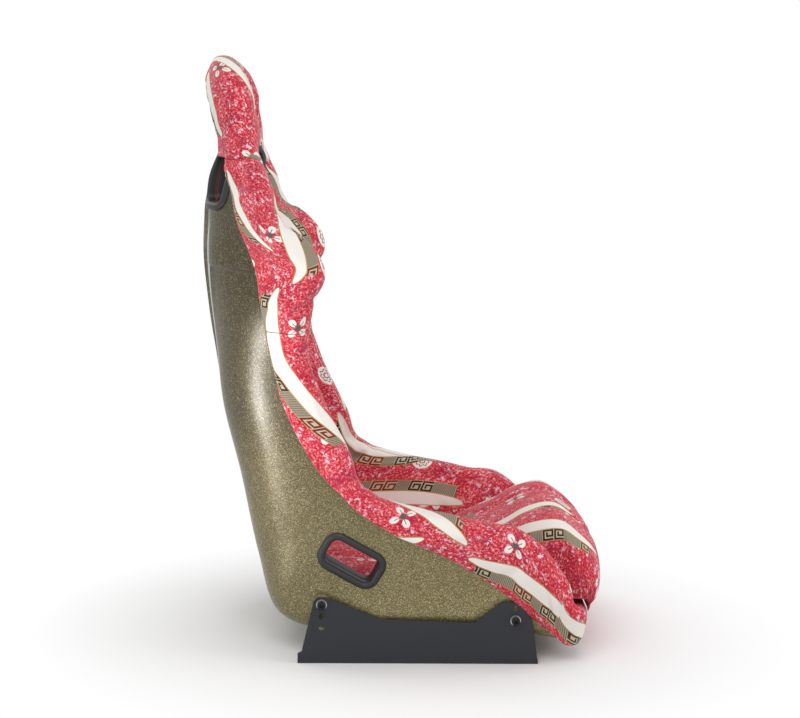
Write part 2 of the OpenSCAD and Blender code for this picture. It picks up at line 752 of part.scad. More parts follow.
module lap_slot_collar() {
    difference() {
        union() {
            intersection() {
                foam_patch(lap_pad_window, -fit);
                lap_slot_cut(rim_t + flange_w);
            }
            intersection() {
                foam_patch(lap_pad_window, rim_split + fit);
                lap_slot_cut(rim_t);
            }
        }
        lap_slot_cut(0);
    }
}
module shoulder_slot_bezel_left() {
    color(TRIM) shoulder_slot_bezel();
}
module shoulder_slot_bezel_right() {
    color(TRIM) mirror([0, 1, 0]) shoulder_slot_bezel();
}
module shoulder_slot_collar_left() {
    color(TRIM) shoulder_slot_collar();
}
module shoulder_slot_collar_right() {
    color(TRIM) mirror([0, 1, 0]) shoulder_slot_collar();
}
module lap_slot_bezel_left() {
    color(TRIM) lap_slot_bezel();
}
module lap_slot_bezel_right() {
    color(TRIM) mirror([0, 1, 0]) lap_slot_bezel();
}
module lap_slot_collar_left() {
    color(TRIM) lap_slot_collar();
}
module lap_slot_collar_right() {
    color(TRIM) mirror([0, 1, 0]) lap_slot_collar();
}
module crotch_slot_bezel() {
    color(TRIM) translate([0, 0, pan_z - fit - flange_t]) difference() {
        union() {
            translate([crotch_slot_x, 0, 0]) rotate([0, 0, 90])
                linear_extrude(height = flange_t) crotch_slot_outline(rim_t + flange_w);
            translate([crotch_slot_x, 0, 0]) rotate([0, 0, 90])
                linear_extrude(height = flange_t + fit + shell_t) crotch_slot_outline(rim_t);
        }
        crotch_slot_cut(0);
    }
}

// ---- Side mounts ----
insert_flange_r = insert_r + 4;
insert_flange_t = 2;
thread_gap = 0.1;
module mount_plate() {
    for (b = BOLTS)
        difference() {
            along_left(b[0], b[1], plate_face - plate_t - fit)
                linear_extrude(height = plate_t) rounded(plate_w, plate_h, plate_r);
            along_left(b[0], b[1], plate_face - 2 * boss_in)
                cylinder(r = insert_r + fit, h = 3 * boss_in, $fn = 64);
        }
}
module mount_plate_left() {
    color(STEEL) mount_plate();
}
module mount_plate_right() {
    color(STEEL) mirror([0, 1, 0]) mount_plate();
}
insert_back = plate_face - plate_t - 2 * fit;
module threaded_inserts() {
    color(STEEL) both_sides() for (b = BOLTS)
        difference() {
            union() {
                along_left(b[0], b[1], insert_back)
                    cylinder(r = insert_r, h = mount_hw - fit - insert_back, $fn = 64);
                along_left(b[0], b[1], insert_back - insert_flange_t)
                    cylinder(r = insert_flange_r, h = insert_flange_t, $fn = 64);
            }
            along_left(b[0], b[1], insert_back - 2 * insert_flange_t)
                cylinder(r = screw_r + thread_gap, h = 3 * boss_in, $fn = 48);
        }
}

floor_hole_x = floor_pitch_x / 2;
bracket_hx = bracket_l / 2;
ear_top = 10;
screw_r = screw_d / 2;
hole_r = (screw_d + screw_gap) / 2;
head_r = screw_d * 0.8125;
head_h = screw_d;
socket_r = screw_d * 0.43;
socket_d = screw_d / 2;
washer_t = 1.6;
washer_r = screw_d;

// Side view of a bracket, with its rear step, two ears and the low web between them
front_ear_z = front_bolt_z + spare_pitch + ear_top;
rear_ear_z = rear_bolt_z + ear_top;
SIDE_OUTLINE = [
    [-bracket_hx, 0], [-bracket_hx, 15], [-bracket_hx + 6, 18],
    [-bolt_x - 12, rear_ear_z - 6], [-bolt_x - 8, rear_ear_z - 1], [-bolt_x - 3, rear_ear_z],
    [-bolt_x + 9, rear_ear_z], [-bolt_x + 14, rear_ear_z - 2],
    [-bolt_x + 87, bracket_web_z + 3], [bolt_x - 61, bracket_web_z - 2],
    [bolt_x - 24, front_ear_z - 3], [bolt_x - 18, front_ear_z],
    [bolt_x + 3, front_ear_z], [bolt_x + 9, front_ear_z - 3],
    [bolt_x + 26, front_bolt_z - 3], [bracket_hx, 0]
];
SPARE_HOLES = [
    [-bolt_x, rear_bolt_z - spare_pitch],
    [-bolt_x, rear_bolt_z - 2 * spare_pitch],
    [bolt_x, front_bolt_z + spare_pitch]
];
bracket_out = mount_hw + bracket_t;
module side_bracket() {
    difference() {
        union() {
            translate([0, bracket_out, 0]) rotate([90, 0, 0])
                linear_extrude(height = bracket_t) polygon(SIDE_OUTLINE);
            translate([-bracket_hx, bracket_out - flange_floor_w, 0])
                cube([bracket_l, flange_floor_w, bracket_t]);
            translate([-bracket_hx, 0, 0]) rotate([90, 0, 90]) linear_extrude(height = bracket_l)
                translate([mount_hw - fold_r, bracket_t]) difference() {
                    square(fold_r);
                    translate([0, fold_r]) circle(r = fold_r, $fn = 48);
                }
        }
        for (h = concat(BOLTS, SPARE_HOLES))
            along_left(h[0], h[1], mount_hw - bracket_t) cylinder(r = hole_r, h = 3 * bracket_t, $fn = 48);
        for (x = [-floor_hole_x, floor_hole_x])
            translate([x, bracket_out - floor_hole_in, -bracket_t])
                cylinder(r = hole_r, h = 3 * bracket_t, $fn = 48);
    }
}
module side_bracket_left() {
    color(POWDER_COAT) side_bracket();
}
module side_bracket_right() {
    color(POWDER_COAT) mirror([0, 1, 0]) side_bracket();
}
module mounting_bolts() {
    under_head = bracket_out + washer_t;
    color(TRIM) both_sides() for (b = BOLTS)
        difference() {
            union() {
                along_left(b[0], b[1], under_head - screw_l) cylinder(r = screw_r, h = screw_l, $fn = 48);
                along_left(b[0], b[1], under_head) cylinder(r = head_r, h = head_h, $fn = 48);
            }
            along_left(b[0], b[1], under_head + head_h - socket_d)
                cylinder(r = socket_r, h = head_h, $fn = 6);
        }
}
module bolt_washers() {
    color(STEEL) both_sides() for (b = BOLTS)
        difference() {
            along_left(b[0], b[1], bracket_out) cylinder(r = washer_r, h = washer_t, $fn = 64);
            along_left(b[0], b[1], bracket_out - washer_t) cylinder(r = hole_r, h = 3 * washer_t, $fn = 48);
        }
}

// ---- Hook and loop tape under the cushion ----
module tape(low) {
    both_sides() patch(tape_window, -inner_gap - low - tape_t, -inner_gap - low);
}
module hook_strips() {
    color(TRIM) tape(0);
}
module loop_strips() {
    color(TRIM) tape(tape_t);
}

shell();
headrest_pad();
backrest_pad();
shoulder_bolster_left();
shoulder_bolster_right();
thigh_bolster_left();
thigh_bolster_right();
front_lip_pad();
seat_cushion();
shoulder_slot_bezel_left();
shoulder_slot_bezel_right();
shoulder_slot_collar_left();
shoulder_slot_collar_right();
lap_slot_bezel_left();
lap_slot_bezel_right();
lap_slot_collar_left();
lap_slot_collar_right();
crotch_slot_bezel();
mount_plate_left();
mount_plate_right();
threaded_inserts();
side_bracket_left();
side_bracket_right();
mounting_bolts();
bolt_washers();
hook_strips();
loop_strips();
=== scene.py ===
import math

import bpy
import bmesh
import numpy as np
from mathutils import Matrix, Vector
from mathutils.bvhtree import BVHTree


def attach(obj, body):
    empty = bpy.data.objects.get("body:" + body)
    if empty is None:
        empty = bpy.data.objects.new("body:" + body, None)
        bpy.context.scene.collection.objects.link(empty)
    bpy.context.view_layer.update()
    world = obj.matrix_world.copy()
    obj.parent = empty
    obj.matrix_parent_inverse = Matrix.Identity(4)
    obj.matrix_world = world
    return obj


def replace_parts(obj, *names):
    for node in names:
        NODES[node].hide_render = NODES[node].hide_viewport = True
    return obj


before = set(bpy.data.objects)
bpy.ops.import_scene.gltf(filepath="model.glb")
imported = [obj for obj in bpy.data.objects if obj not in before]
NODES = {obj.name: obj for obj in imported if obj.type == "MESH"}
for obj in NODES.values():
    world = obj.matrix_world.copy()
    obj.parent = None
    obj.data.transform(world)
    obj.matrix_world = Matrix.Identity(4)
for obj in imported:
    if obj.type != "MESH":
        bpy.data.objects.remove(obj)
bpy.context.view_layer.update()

bpy.ops.object.select_all(action="DESELECT")
MM = 0.001

# ---- Camera ----
camera = bpy.data.objects.new("side_camera", bpy.data.cameras.new("side_camera"))
bpy.context.scene.collection.objects.link(camera)
bpy.context.scene.camera = camera
camera.data.lens = 93.27
camera.data.sensor_width = 36
camera.data.clip_end = 60
camera_place = (-0.1488, -3.206, 0.900)
camera_pitch, camera_turn, camera_roll = map(math.radians, (8.339, 2.2, 0.85))
ahead = Vector((math.sin(camera_turn) * math.cos(camera_pitch),
                math.cos(camera_turn) * math.cos(camera_pitch), -math.sin(camera_pitch)))
level = Vector((math.cos(camera_turn), -math.sin(camera_turn), 0))
above = level.cross(ahead)
right = level * math.cos(camera_roll) + above * math.sin(camera_roll)
up = above * math.cos(camera_roll) - level * math.sin(camera_roll)
camera.matrix_world = Matrix((
    (right.x, up.x, -ahead.x, camera_place[0]),
    (right.y, up.y, -ahead.y, camera_place[1]),
    (right.z, up.z, -ahead.z, camera_place[2]),
    (0, 0, 0, 1)))

# ---- Driving sizes of the seat, in millimetres, as in the part's source ----
crown_z, neck_z, shoulder_z, waist_z, thigh_z, pan_z, lip_z = 884, 768, 596, 462, 209, 38, 70
back_x, head_x, shoulder_x, hip_x, lip_x = -321, -254, -172, -110, 238
head_hw, shoulder_hw, waist_hw, thigh_hw, wall_hw = 133, 256, 212, 232, 200
shell_t, ridge_h, ridge_flat = 5, 9, 40
wrap_t, nose, rim_foam, bolster_swell, valley_foam, channel_d, fit = 9, 15, 30, 13, 14, 6, 0.3
cushion_hw, cushion_front_hw, cushion_top_z, cushion_x, lobe_y = 173, 200, 208, 284, 62
slot_z, slot_r, rim_t = 712, 11, 2.5
bolt_pitch, rear_bolt_z, front_bolt_z, boss_r, bore_r = 290, 90, 67, 14.5, 6.8
shoulder_slot, lap_slot, crotch_slot = (68, 66), (78, 40), (90, 36)
tape_t = 1.5
# Each row: spine x, spine z, rim x, rim z, rim half-width, floor half-width, wall half-width,
# wall turn, inner pad edge, outer wrap edge (all three 0 spine, 1 rim), centre foam,
# shares of the rim foam, the swell and the valley foam, corner ahead of and above the spine.
STATIONS = [
    [back_x - 1, crown_z - 56, head_x - 52, crown_z,
     0, 0, 0, .60, .44, .50, 40, 1, .3, 1.9, 0, 20],
    [back_x - 1, crown_z - 66, head_x - 44, crown_z - 9,
     head_hw - 53, 38, 66, .60, .42, .48, 42, 1, .3, 1.9, 0, 22],
    [back_x + 8, crown_z - 82, head_x - 22, crown_z - 50,
     head_hw - 6, 72, 118, .58, .35, .39, 46, 1, .3, 1.9, 0, 14],
    [back_x + 23, neck_z, head_x - 8, neck_z + 4,
     head_hw + 2, 82, 134, .52, .31, .34, 44, 1, .4, 1.8, 0, 0],
    [back_x + 5, slot_z + 3, head_x + 8, slot_z + 3,
     head_hw + 40, 92, 156, .72, .45, .67, 42, 1, .7, 1.5, 0, 0],
    [back_x + 1, shoulder_z + 62, shoulder_x - 52, shoulder_z + 56,
     shoulder_hw - 26, 108, 178, .62, .48, .76, 38, 1, 1, 1.2, 0, 0],
    [back_x, shoulder_z + 2, shoulder_x, shoulder_z - 4,
     shoulder_hw, 122, 205, .55, .50, .785, 34, 1, 1, 1, 0, 0],
    [back_x + 5, shoulder_z - 56, shoulder_x - 10, shoulder_z - 60,
     shoulder_hw - 18, 128, 206, .50, .50, .845, 32, 1, 1, 1, 0, 0],
    [back_x + 15, waist_z, shoulder_x - 13, waist_z,
     waist_hw, 130, 194, .46, .50, .893, 36, 1, .9, 1, 0, 0],
    [back_x + 25, waist_z - 87, hip_x - 45, waist_z - 77,
     waist_hw - 2, 132, 196, .46, .52, .888, 40, 1, .7, 1, 0, 0],
    [back_x + 52, waist_z - 192, hip_x - 10, waist_z - 147,
     waist_hw + 1, 138, 199, .46, .56, .912, 34, 1, .5, 1, 0, 0],
    [back_x + 79, pan_z + 112, hip_x + 6, thigh_z + 62,
     waist_hw + 5, 150, wall_hw, .48, .64, .97, 26, 1, .5, 1, 0, 0],
    [back_x + 112, pan_z + 24, hip_x + 38, thigh_z + 36,
     waist_hw + 10, 180, wall_hw, .44, .72, .975, 20, 1, .5, 1, 0, 0],
    [hip_x - 10, pan_z + 1, hip_x + 90, thigh_z + 19,
     thigh_hw - 6, wall_hw, wall_hw, .40, .78, .955, 20, 1, .5, 1, 0, 0],
    [hip_x + 120, pan_z, lip_x - 163, thigh_z - 4,
     thigh_hw - 1, wall_hw, wall_hw, .44, .78, .905, 20, 1, .4, 1, 0, 0],
    [hip_x + 220, pan_z, lip_x - 90, thigh_z - 27,
     thigh_hw + 4, wall_hw, wall_hw, .50, .70, .795, 20, .9, .3, 1, 0, 0],
    [lip_x - 76, pan_z, lip_x - 37, thigh_z - 77,
     thigh_hw + 3, wall_hw - 4, wall_hw + 5, .50, .56, .66, 20, .5, .1, .7, 17, -4],
    [lip_x - 60, pan_z - 1, lip_x - 9, lip_z + 14,
     thigh_hw - 9, wall_hw - 9, wall_hw + 7, .50, .46, .53, 18, .15, 0, 1, 45, -9],
    [lip_x - 50, pan_z - 3, lip_x - 2, lip_z,
     thigh_hw - 112, 104, 117, .50, .42, .49, 18, .2, 0, 1, 46, -7],
    [lip_x - 44, pan_z - 4, lip_x - 2, lip_z,
     0, 0, 0, .50, .40, .47, 18, .2, 0, 1, 41, -5],
]
TABLE = np.array(STATIONS, float)
LAST = len(TABLE) - 1
WALL_TURN, RIM_EDGE, WRAP_EDGE, CENTRE_FOAM = range(7, 11)
RIM_SHARE, SWELL_SHARE, VALLEY_SHARE, CORNER_X, CORNER_Z = range(11, 16)
HEAD_END, SHOULDER_END, BACKREST_END, LIP_START = 3.5, 7.5, 11.5, 16.5
RIDGE_START, RIDGE_END = 3.6, 9.5
FLOOR_COL, WRAP_COL, RIM_COL = 6, 9, 13         # columns of the grid where its zones end
floor_flat = .55
inner_gap = shell_t + fit
MIRROR = np.array([1.0, -1.0, 1.0])


# ---- The shell's surface: u runs from the crown down the back to the lip, t from the spine to the rim ----
def controls(station):
    """Control points of one station: spine, floor, corner, wall and rim."""
    spine_x, spine_z, rim_x, rim_z, rim_hw, floor_hw, side_hw = station[:7]
    corner_x, corner_z = spine_x + station[CORNER_X], spine_z + station[CORNER_Z]
    flat_x, flat_z = (corner_x - spine_x) * floor_flat, (corner_z - spine_z) * floor_flat
    turn = station[WALL_TURN]
    return [
        [spine_x, 0, spine_z],
        [spine_x + flat_x, floor_hw * floor_flat, spine_z + flat_z],
        [corner_x, floor_hw, corner_z],
        [corner_x + (rim_x - corner_x) * turn, side_hw, corner_z + (rim_z - corner_z) * turn],
        [rim_x, rim_hw, rim_z]]


CONTROLS = np.array([controls(station) for station in TABLE])
CONTROLS = np.concatenate([[CONTROLS[1] * MIRROR], CONTROLS, [CONTROLS[-2] * MIRROR]])


def spline(a, b, c, d, f):
    """Catmull-Rom curve from b to c."""
    return .5 * (2 * b + (c - a) * f + (2 * a - 5 * b + 4 * c - d) * f * f + (3 * b - a - 3 * c + d) * f ** 3)


def quadratic(a, b, c, f):
    return a * (1 - f) ** 2 + b * 2 * f * (1 - f) + c * f * f


def smooth(f):
    g = np.clip(f, 0, 1)
    return g * g * (3 - 2 * g)


def station_value(u, column):
    """A column of the station table at u, never beyond its two nearest stations."""
    k = np.minimum(np.floor(u), LAST - 1).astype(int)
    f = u - k
    rows = [np.clip(k + step, 0, LAST) for step in (-1, 0, 1, 2)]
    a, b, c, d = (TABLE[row, column] for row in rows)
    return np.clip(spline(a, b, c, d, f), np.minimum(b, c), np.maximum(b, c))


def skin(u, t):
    """Points on the shell's outer surface; u and t may run past its middle plane."""
    u, t = np.broadcast_arrays(np.asarray(u, float), np.asarray(t, float))
    side = np.where(u < 0, -1, 1) * np.where(u > LAST, -1, 1) * np.where(t < 0, -1, 1)
    u = np.abs(u)
    u = np.where(u > LAST, 2 * LAST - u, u)
    t = np.abs(t)
    k = np.minimum(np.floor(u), LAST - 1).astype(int)
    f = (u - k)[..., None, None]
    c = spline(CONTROLS[k], CONTROLS[k + 1], CONTROLS[k + 2], CONTROLS[k + 3], f)
    knots = [c[..., 0, :], c[..., 1, :], (c[..., 1, :] + c[..., 2, :]) / 2, c[..., 2, :],
             (c[..., 2, :] + c[..., 3, :]) / 2, c[..., 3, :], c[..., 4, :]]
    g = 3 * t[..., None]
    arcs = [quadratic(*knots[2 * i:2 * i + 3], g - i) for i in range(3)]
    p = np.where(g < 1, arcs[0], np.where(g < 2, arcs[1], arcs[2]))
    y = np.abs(p[..., 1])
    ridge = ridge_h * smooth((u - RIDGE_START) / 1.4) * smooth((RIDGE_END - u) / 2)
    p[..., 0] -= ridge * (1 - smooth((y - ridge_flat) / 14))
    p[..., 1] *= side
    return p


def unit(v):
    return v / np.maximum(np.linalg.norm(v, axis=-1, keepdims=True), 1e-9)


def skin_normal(u, t):
    step = .01
    seam = (u < 1e-6) | (u > LAST - 1e-6)
    f = np.where(seam, np.maximum(t, step), t)
    at_end = u > LAST - step
    a = skin(np.where(at_end, u - step, u), f)
    b = skin(np.where(at_end, u, u + step), f)
    n = np.cross(skin(u, f + step) - skin(u, f - step), b - a)
    n[..., 1] = np.where(seam, 0, n[..., 1])
    return unit(n)


def rim_direction(u):
    return unit(skin(u, np.ones_like(u)) - skin(u, np.full_like(u, .99)))


def column_t(u, j):
    """The place t of a column of the grid: floor, side and wrap are three even stretches."""
    pad = station_value(u, RIM_EDGE)
    wrap = np.maximum(station_value(u, WRAP_EDGE), pad + .03)
    side = pad + (wrap - pad) * (j - FLOOR_COL) / (WRAP_COL - FLOOR_COL)
    outer = wrap + (1 - wrap) * (j - WRAP_COL) / (RIM_COL - WRAP_COL)
    return np.where(j <= FLOOR_COL, pad * j / FLOOR_COL, np.where(j <= WRAP_COL, side, outer))


def off_skin(u, j, offset):
    """Points off the shell, over the grid of stations u and columns j; offset grows outwards."""
    u, j = np.meshgrid(u, j, indexing="ij")
    t = column_t(u, np.abs(j))
    p = skin(u, t) + skin_normal(u, t) * np.broadcast_to(offset, u.shape)[..., None]
    return np.where((j < 0)[..., None], p * MIRROR, p)


def foam(u, j):
    """Thickness of the padding: a crowned centre between the spine and the wall, bolsters beside it."""
    u, j = np.meshgrid(u, np.abs(j), indexing="ij")
    side = np.maximum(0, j - FLOOR_COL) / (RIM_COL - FLOOR_COL)
    rim = rim_foam * station_value(u, RIM_SHARE)
    valley = np.minimum(valley_foam * station_value(u, VALLEY_SHARE), rim)
    swell = bolster_swell * station_value(u, SWELL_SHARE)
    centre = station_value(u, CENTRE_FOAM)
    return np.where(j >= FLOOR_COL, valley + (rim - valley) * side + swell * np.sin(math.pi * side ** .8),
                    centre + (valley - centre) * np.minimum(1, j / FLOOR_COL) ** 3)


# ---- Meshes from grids ----
def deselect():
    bpy.ops.object.select_all(action="DESELECT")


def only(piece):
    deselect()
    piece.select_set(True)
    bpy.context.view_layer.objects.active = piece


def grid_faces(rows, columns, start=0, turned=False):
    i, k = np.meshgrid(np.arange(rows - 1), np.arange(columns - 1), indexing="ij")
    a = (start + i * columns + k).ravel()
    quads = np.stack([a, a + columns, a + columns + 1, a + 1], 1)
    return quads[:, ::-1] if turned else quads


def new_mesh(name, points, faces, uvs=None, material=None):
    """A mesh from points in millimetres; uvs gives each face corner's place on the cloth, in metres."""
    mesh = bpy.data.meshes.new(name)
    mesh.from_pydata((np.asarray(points).reshape(-1, 3) * MM).tolist(), [], [list(f) for f in faces])
    if uvs is not None:
        layer = mesh.uv_layers.new(name="cloth")
        layer.data.foreach_set("uv", np.asarray(uvs, float).ravel())
    mesh.validate()
    piece = bpy.data.objects.new(name, mesh)
    bpy.context.scene.collection.objects.link(piece)
    if material:
        mesh.materials.append(material)
    return piece


def tidy_mesh(piece, gap=.05):
    """Closes the gaps and points all faces outwards."""
    edit = bmesh.new()
    edit.from_mesh(piece.data)
    bmesh.ops.remove_doubles(edit, verts=edit.verts, dist=gap * MM)
    bmesh.ops.dissolve_degenerate(edit, edges=edit.edges, dist=.01 * MM)
    bmesh.ops.recalc_face_normals(edit, faces=edit.faces)
    edit.to_mesh(piece.data)
    edit.free()


def smooth_shade(piece, angle=40):
    only(piece)
    bpy.ops.object.shade_smooth_by_angle(angle=math.radians(angle))


def mirrored(piece, name):
    """A copy on the other side of the middle plane, with its own mesh."""
    twin = piece.copy()
    twin.data = piece.data.copy()
    twin.name = twin.data.name = name
    bpy.context.scene.collection.objects.link(twin)
    twin.data.transform(Matrix.Scale(-1, 4, (0, 1, 0)))
    twin.data.flip_normals()
    return twin


def closed_pad(name, face, groove, charts, material, panel=None, folded_start=False):
    """A pad between its visible face and the side that lies on the shell.
    Each chart gives the grid's places on the cloth, and panel says which chart each column of faces has."""
    rows, columns = face.shape[:2]
    shift = rows * columns
    skin_quads = grid_faces(rows, columns)
    back_quads = grid_faces(rows, columns, shift, turned=True)
    rims = []
    for k in (0, columns - 1):
        for i in range(rows - 1):
            a, b = i * columns + k, (i + 1) * columns + k
            rims.append([a, b, b + shift, a + shift])
    for i in ((rows - 1,) if folded_start else (0, rows - 1)):
        for k in range(columns - 1):
            a = i * columns + k
            rims.append([a, a + 1, a + 1 + shift, a + shift])
    faces = np.concatenate([skin_quads, back_quads, rims])
    panel = panel or [0] * columns
    uvs = []
    for quad in faces:
        chart = charts[panel[min(quad[0] % columns, columns - 2)]].reshape(-1, 2)
        uvs.append(chart[quad % shift])
    points = np.concatenate([face.reshape(-1, 3), groove.reshape(-1, 3)])
    piece = new_mesh(name, points, faces, np.array(uvs), material)
    sewn = np.ones((rows, columns), bool)
    sewn[0 if folded_start else 2:-2, 2:-2] = False
    sewn = np.concatenate([sewn.ravel(), np.ones(shift, bool)])
    piece.vertex_groups.new(name="sewn").add(np.nonzero(sewn)[0].tolist(), 1, "REPLACE")
    tidy_mesh(piece)
    return piece


def corners(piece, key="co"):
    values = np.empty(len(piece.data.vertices) * 3)
    piece.data.vertices.foreach_get(key, values)
    return values.reshape(-1, 3)


def directions(piece):
    """The way out at each point."""
    return corners(piece, "normal")


def move_to(piece, points):
    piece.data.vertices.foreach_set("co", points.ravel())
    piece.data.update()


puff_frames = 20


def puff(piece, cap, growth=.035, pressure=4.0, settle=.35):
    """Air pressure swells the cover between its sewn edges.
    No point moves more than the cap, in millimetres."""
    rest = corners(piece)
    only(piece)
    cloth = piece.modifiers.new("cover", "CLOTH")
    cloth.settings.quality = 6
    cloth.settings.mass = .25
    cloth.settings.tension_stiffness = cloth.settings.compression_stiffness = 14
    cloth.settings.shear_stiffness = 6
    cloth.settings.bending_stiffness = .5
    cloth.settings.use_pressure = True
    cloth.settings.uniform_pressure_force = pressure
    cloth.settings.shrink_min = cloth.settings.shrink_max = -growth
    cloth.settings.vertex_group_mass = "sewn"
    cloth.settings.effector_weights.gravity = 0
    cloth.collision_settings.use_collision = False
    cloth.point_cache.frame_start, cloth.point_cache.frame_end = 1, puff_frames
    for step in range(puff_frames):
        bpy.context.scene.frame_set(step + 1)
    swelled = corners(piece.evaluated_get(bpy.context.evaluated_depsgraph_get()))
    piece.modifiers.remove(cloth)
    bpy.context.scene.frame_set(1)
    normals = directions(piece)
    move = swelled - rest
    out = (move * normals).sum(1, keepdims=True)
    move -= normals * settle * np.clip(out, 0, cap * MM)
    size = np.linalg.norm(move, axis=1, keepdims=True)
    move *= np.minimum(1, cap * MM / np.maximum(size, 1e-9))
    move_to(piece, rest + move)


def refine(piece, ends=()):
    """One subdivision; the edges round each end that butts against the next cover stay sharp."""
    if ends:
        sharp = piece.data.attributes.new("crease_edge", "FLOAT", "EDGE")
        places = cloth_places(piece)[:, 0]
        at_end = np.any([np.abs(places - end) < .0004 for end in ends], 0)
        for edge in piece.data.edges:
            if at_end[edge.vertices[0]] and at_end[edge.vertices[1]]:
                sharp.data[edge.index].value = 1
    only(piece)
    smoother = piece.modifiers.new("finer", "SUBSURF")
    smoother.levels = smoother.render_levels = 1
    bpy.ops.object.modifier_apply(modifier="finer")


def cloth_places(piece):
    """Each point's place on the cloth, from its UV map."""
    layer = piece.data.uv_layers["cloth"]
    flat = np.empty(len(layer.data) * 2)
    layer.data.foreach_get("uv", flat)
    owner = np.empty(len(piece.data.loops), int)
    piece.data.loops.foreach_get("vertex_index", owner)
    places = np.zeros((len(piece.data.vertices), 2))
    places[owner] = flat.reshape(-1, 2)
    return places


def draw_in(piece, way, depth, reach):
    """Pulls the cover in along a seam; way gives each point's distance from it, in metres."""
    pull = depth * MM * np.maximum(0, 1 - np.abs(way) / (reach * MM)) ** 1.6
    move_to(piece, corners(piece) - directions(piece) * pull[:, None])


# ---- Materials ----
class Link:
    """A number in a material: arithmetic on it adds the Math nodes."""

    def __init__(self, tree, socket):
        self.tree, self.socket = tree, socket

    def sum(self, operation, *others):
        return self.tree.node("ShaderNodeMath", {"operation": operation}, dict(enumerate((self,) + others)))

    def __add__(self, other):
        return self.sum("ADD", other)

    def __sub__(self, other):
        return self.sum("SUBTRACT", other)

    def __rsub__(self, other):
        return (-self) + other

    def __mul__(self, other):
        return self.sum("MULTIPLY", other)

    def __truediv__(self, other):
        return self.sum("DIVIDE", other)

    def __mod__(self, other):
        return self.sum("FLOORED_MODULO", other)

    def __pow__(self, other):
        return self.sum("POWER", other)

    def __lt__(self, other):
        return self.sum("LESS_THAN", other)

    def __gt__(self, other):
        return self.sum("GREATER_THAN", other)

    def __neg__(self):
        return self.sum("MULTIPLY", -1)

    def __abs__(self):
        return self.sum("ABSOLUTE")

    __radd__, __rmul__ = __add__, __mul__


class Tree:
    """The nodes of a material or of the world; its node method adds every node."""

    def __init__(self, owner):
        owner.use_nodes = True
        self.nodes, self.links = owner.node_tree.nodes, owner.node_tree.links

    def node(self, kind, settings=None, values=None, output=0):
        node = self.nodes.new(kind)
        for key, value in (settings or {}).items():
            if key == "stops":
                ramp = node.color_ramp
                while len(ramp.elements) < len(value):
                    ramp.elements.new(.5)
                for stop, (place, colour) in zip(ramp.elements, value):
                    stop.position, stop.color = place, colour
            else:
                setattr(node, key, value)
        for key, value in (values or {}).items():
            self.put(node.inputs[key], value)
        return Link(self, node.outputs[output])

    def put(self, socket, value):
        if isinstance(value, Link):
            self.links.new(value.socket, socket)
        else:
            socket.default_value = value

    def mix(self, factor, low, high):
        return self.node("ShaderNodeMix", {"data_type": "RGBA"}, {0: factor, 6: low, 7: high}, output=2)

    def noise(self, where, scale, detail, rough=.5):
        values = {"Vector": where, "Scale": scale, "Detail": detail, "Roughness": rough}
        return self.node("ShaderNodeTexNoise", {}, values)

    def cells(self, where, scale, feature="F1", output=0):
        values = {"Vector": where, "Scale": scale}
        return self.node("ShaderNodeTexVoronoi", {"feature": feature}, values, output)

    def bump(self, height, strength, distance, under=None):
        values = {"Height": height, "Strength": strength, "Distance": distance}
        if under:
            values["Normal"] = under
        return self.node("ShaderNodeBump", {}, values)

    def place(self):
        return self.node("ShaderNodeTexCoord", output=3)

    def ramp(self, value, *stops):
        return self.node("ShaderNodeValToRGB", {"stops": stops}, {0: value})

    def range(self, value, low, high, to_low=0.0, to_high=1.0):
        return self.node("ShaderNodeMapRange", {}, {0: value, 1: low, 2: high, 3: to_low, 4: to_high})

    def split(self, vector):
        parts = self.node("ShaderNodeSeparateXYZ", values={0: vector})
        return [Link(self, out) for out in parts.socket.node.outputs]

    def seen_rays(self):
        """1 where the camera, gloss or glass looks, 0 where light falls on the seat."""
        kinds = ("Is Camera Ray", "Is Glossy Ray", "Is Transmission Ray")
        camera_ray, glossy_ray, glass_ray = (self.node("ShaderNodeLightPath", output=kind) for kind in kinds)
        return (camera_ray + glossy_ray + glass_ray).sum("MINIMUM", 1)


class Finish(Tree):
    """One material; constants are the numbers that are the same all over it."""

    def __init__(self, name, **constants):
        self.material = bpy.data.materials.new(name)
        super().__init__(self.material)
        self.shader = self.nodes["Principled BSDF"]
        for socket, value in constants.items():
            self.set(socket.replace("_", " "), value)

    def set(self, socket, value):
        self.put(self.shader.inputs[socket], value)


def ink(*screen):
    """A colour from its 0-255 screen values."""
    shares = [value / 255 for value in screen]
    return (*(c / 12.92 if c <= .04045 else ((c + .055) / 1.055) ** 2.4 for c in shares), 1)


# The print's sizes on the cloth, in metres
REPEAT, band_w, thread_gap, EDGE_SEAM = .51, .0195, .0014, -.014
# Ribbons: from (along, across), to (along, across), sag, half width, side of the key band
SIDE_RIBBONS = [
    (.00, .070, .27, -.016, .024, .0130, 1),
    (.27, -.034, .50, .048, -.018, .0125, -1),
    (.29, .082, .44, .052, .012, .0095, 1),
    (.05, -.066, .31, -.116, -.026, .0130, -1),
    (.31, -.148, .53, -.084, .020, .0125, 1)]
SEAT_RIBBONS = [
    (.02, .044, .36, .052, .010, .0080, 1), (.16, -.050, .50, -.044, -.010, .0080, -1),
    (.24, .166, .49, .106, .016, .0125, 1), (.30, -.112, .54, -.168, -.012, .0125, -1)]


def key_spiral(x, y):
    """A square key spiral in a unit cell."""
    spots = [(.12, .5, .085, .45), (.5, .88, .45, .085), (.5, .12, .45, .085), (.88, .36, .085, .31),
             (.64, .60, .31, .08), (.40, .47, .08, .19)]
    bars = [(abs(x - middle_x) < half_x) * (abs(y - middle_y) < half_y)
            for middle_x, middle_y, half_x, half_y in spots]
    total = bars[0]
    for bar in bars[1:]:
        total = total.sum("MAXIMUM", bar)
    return total


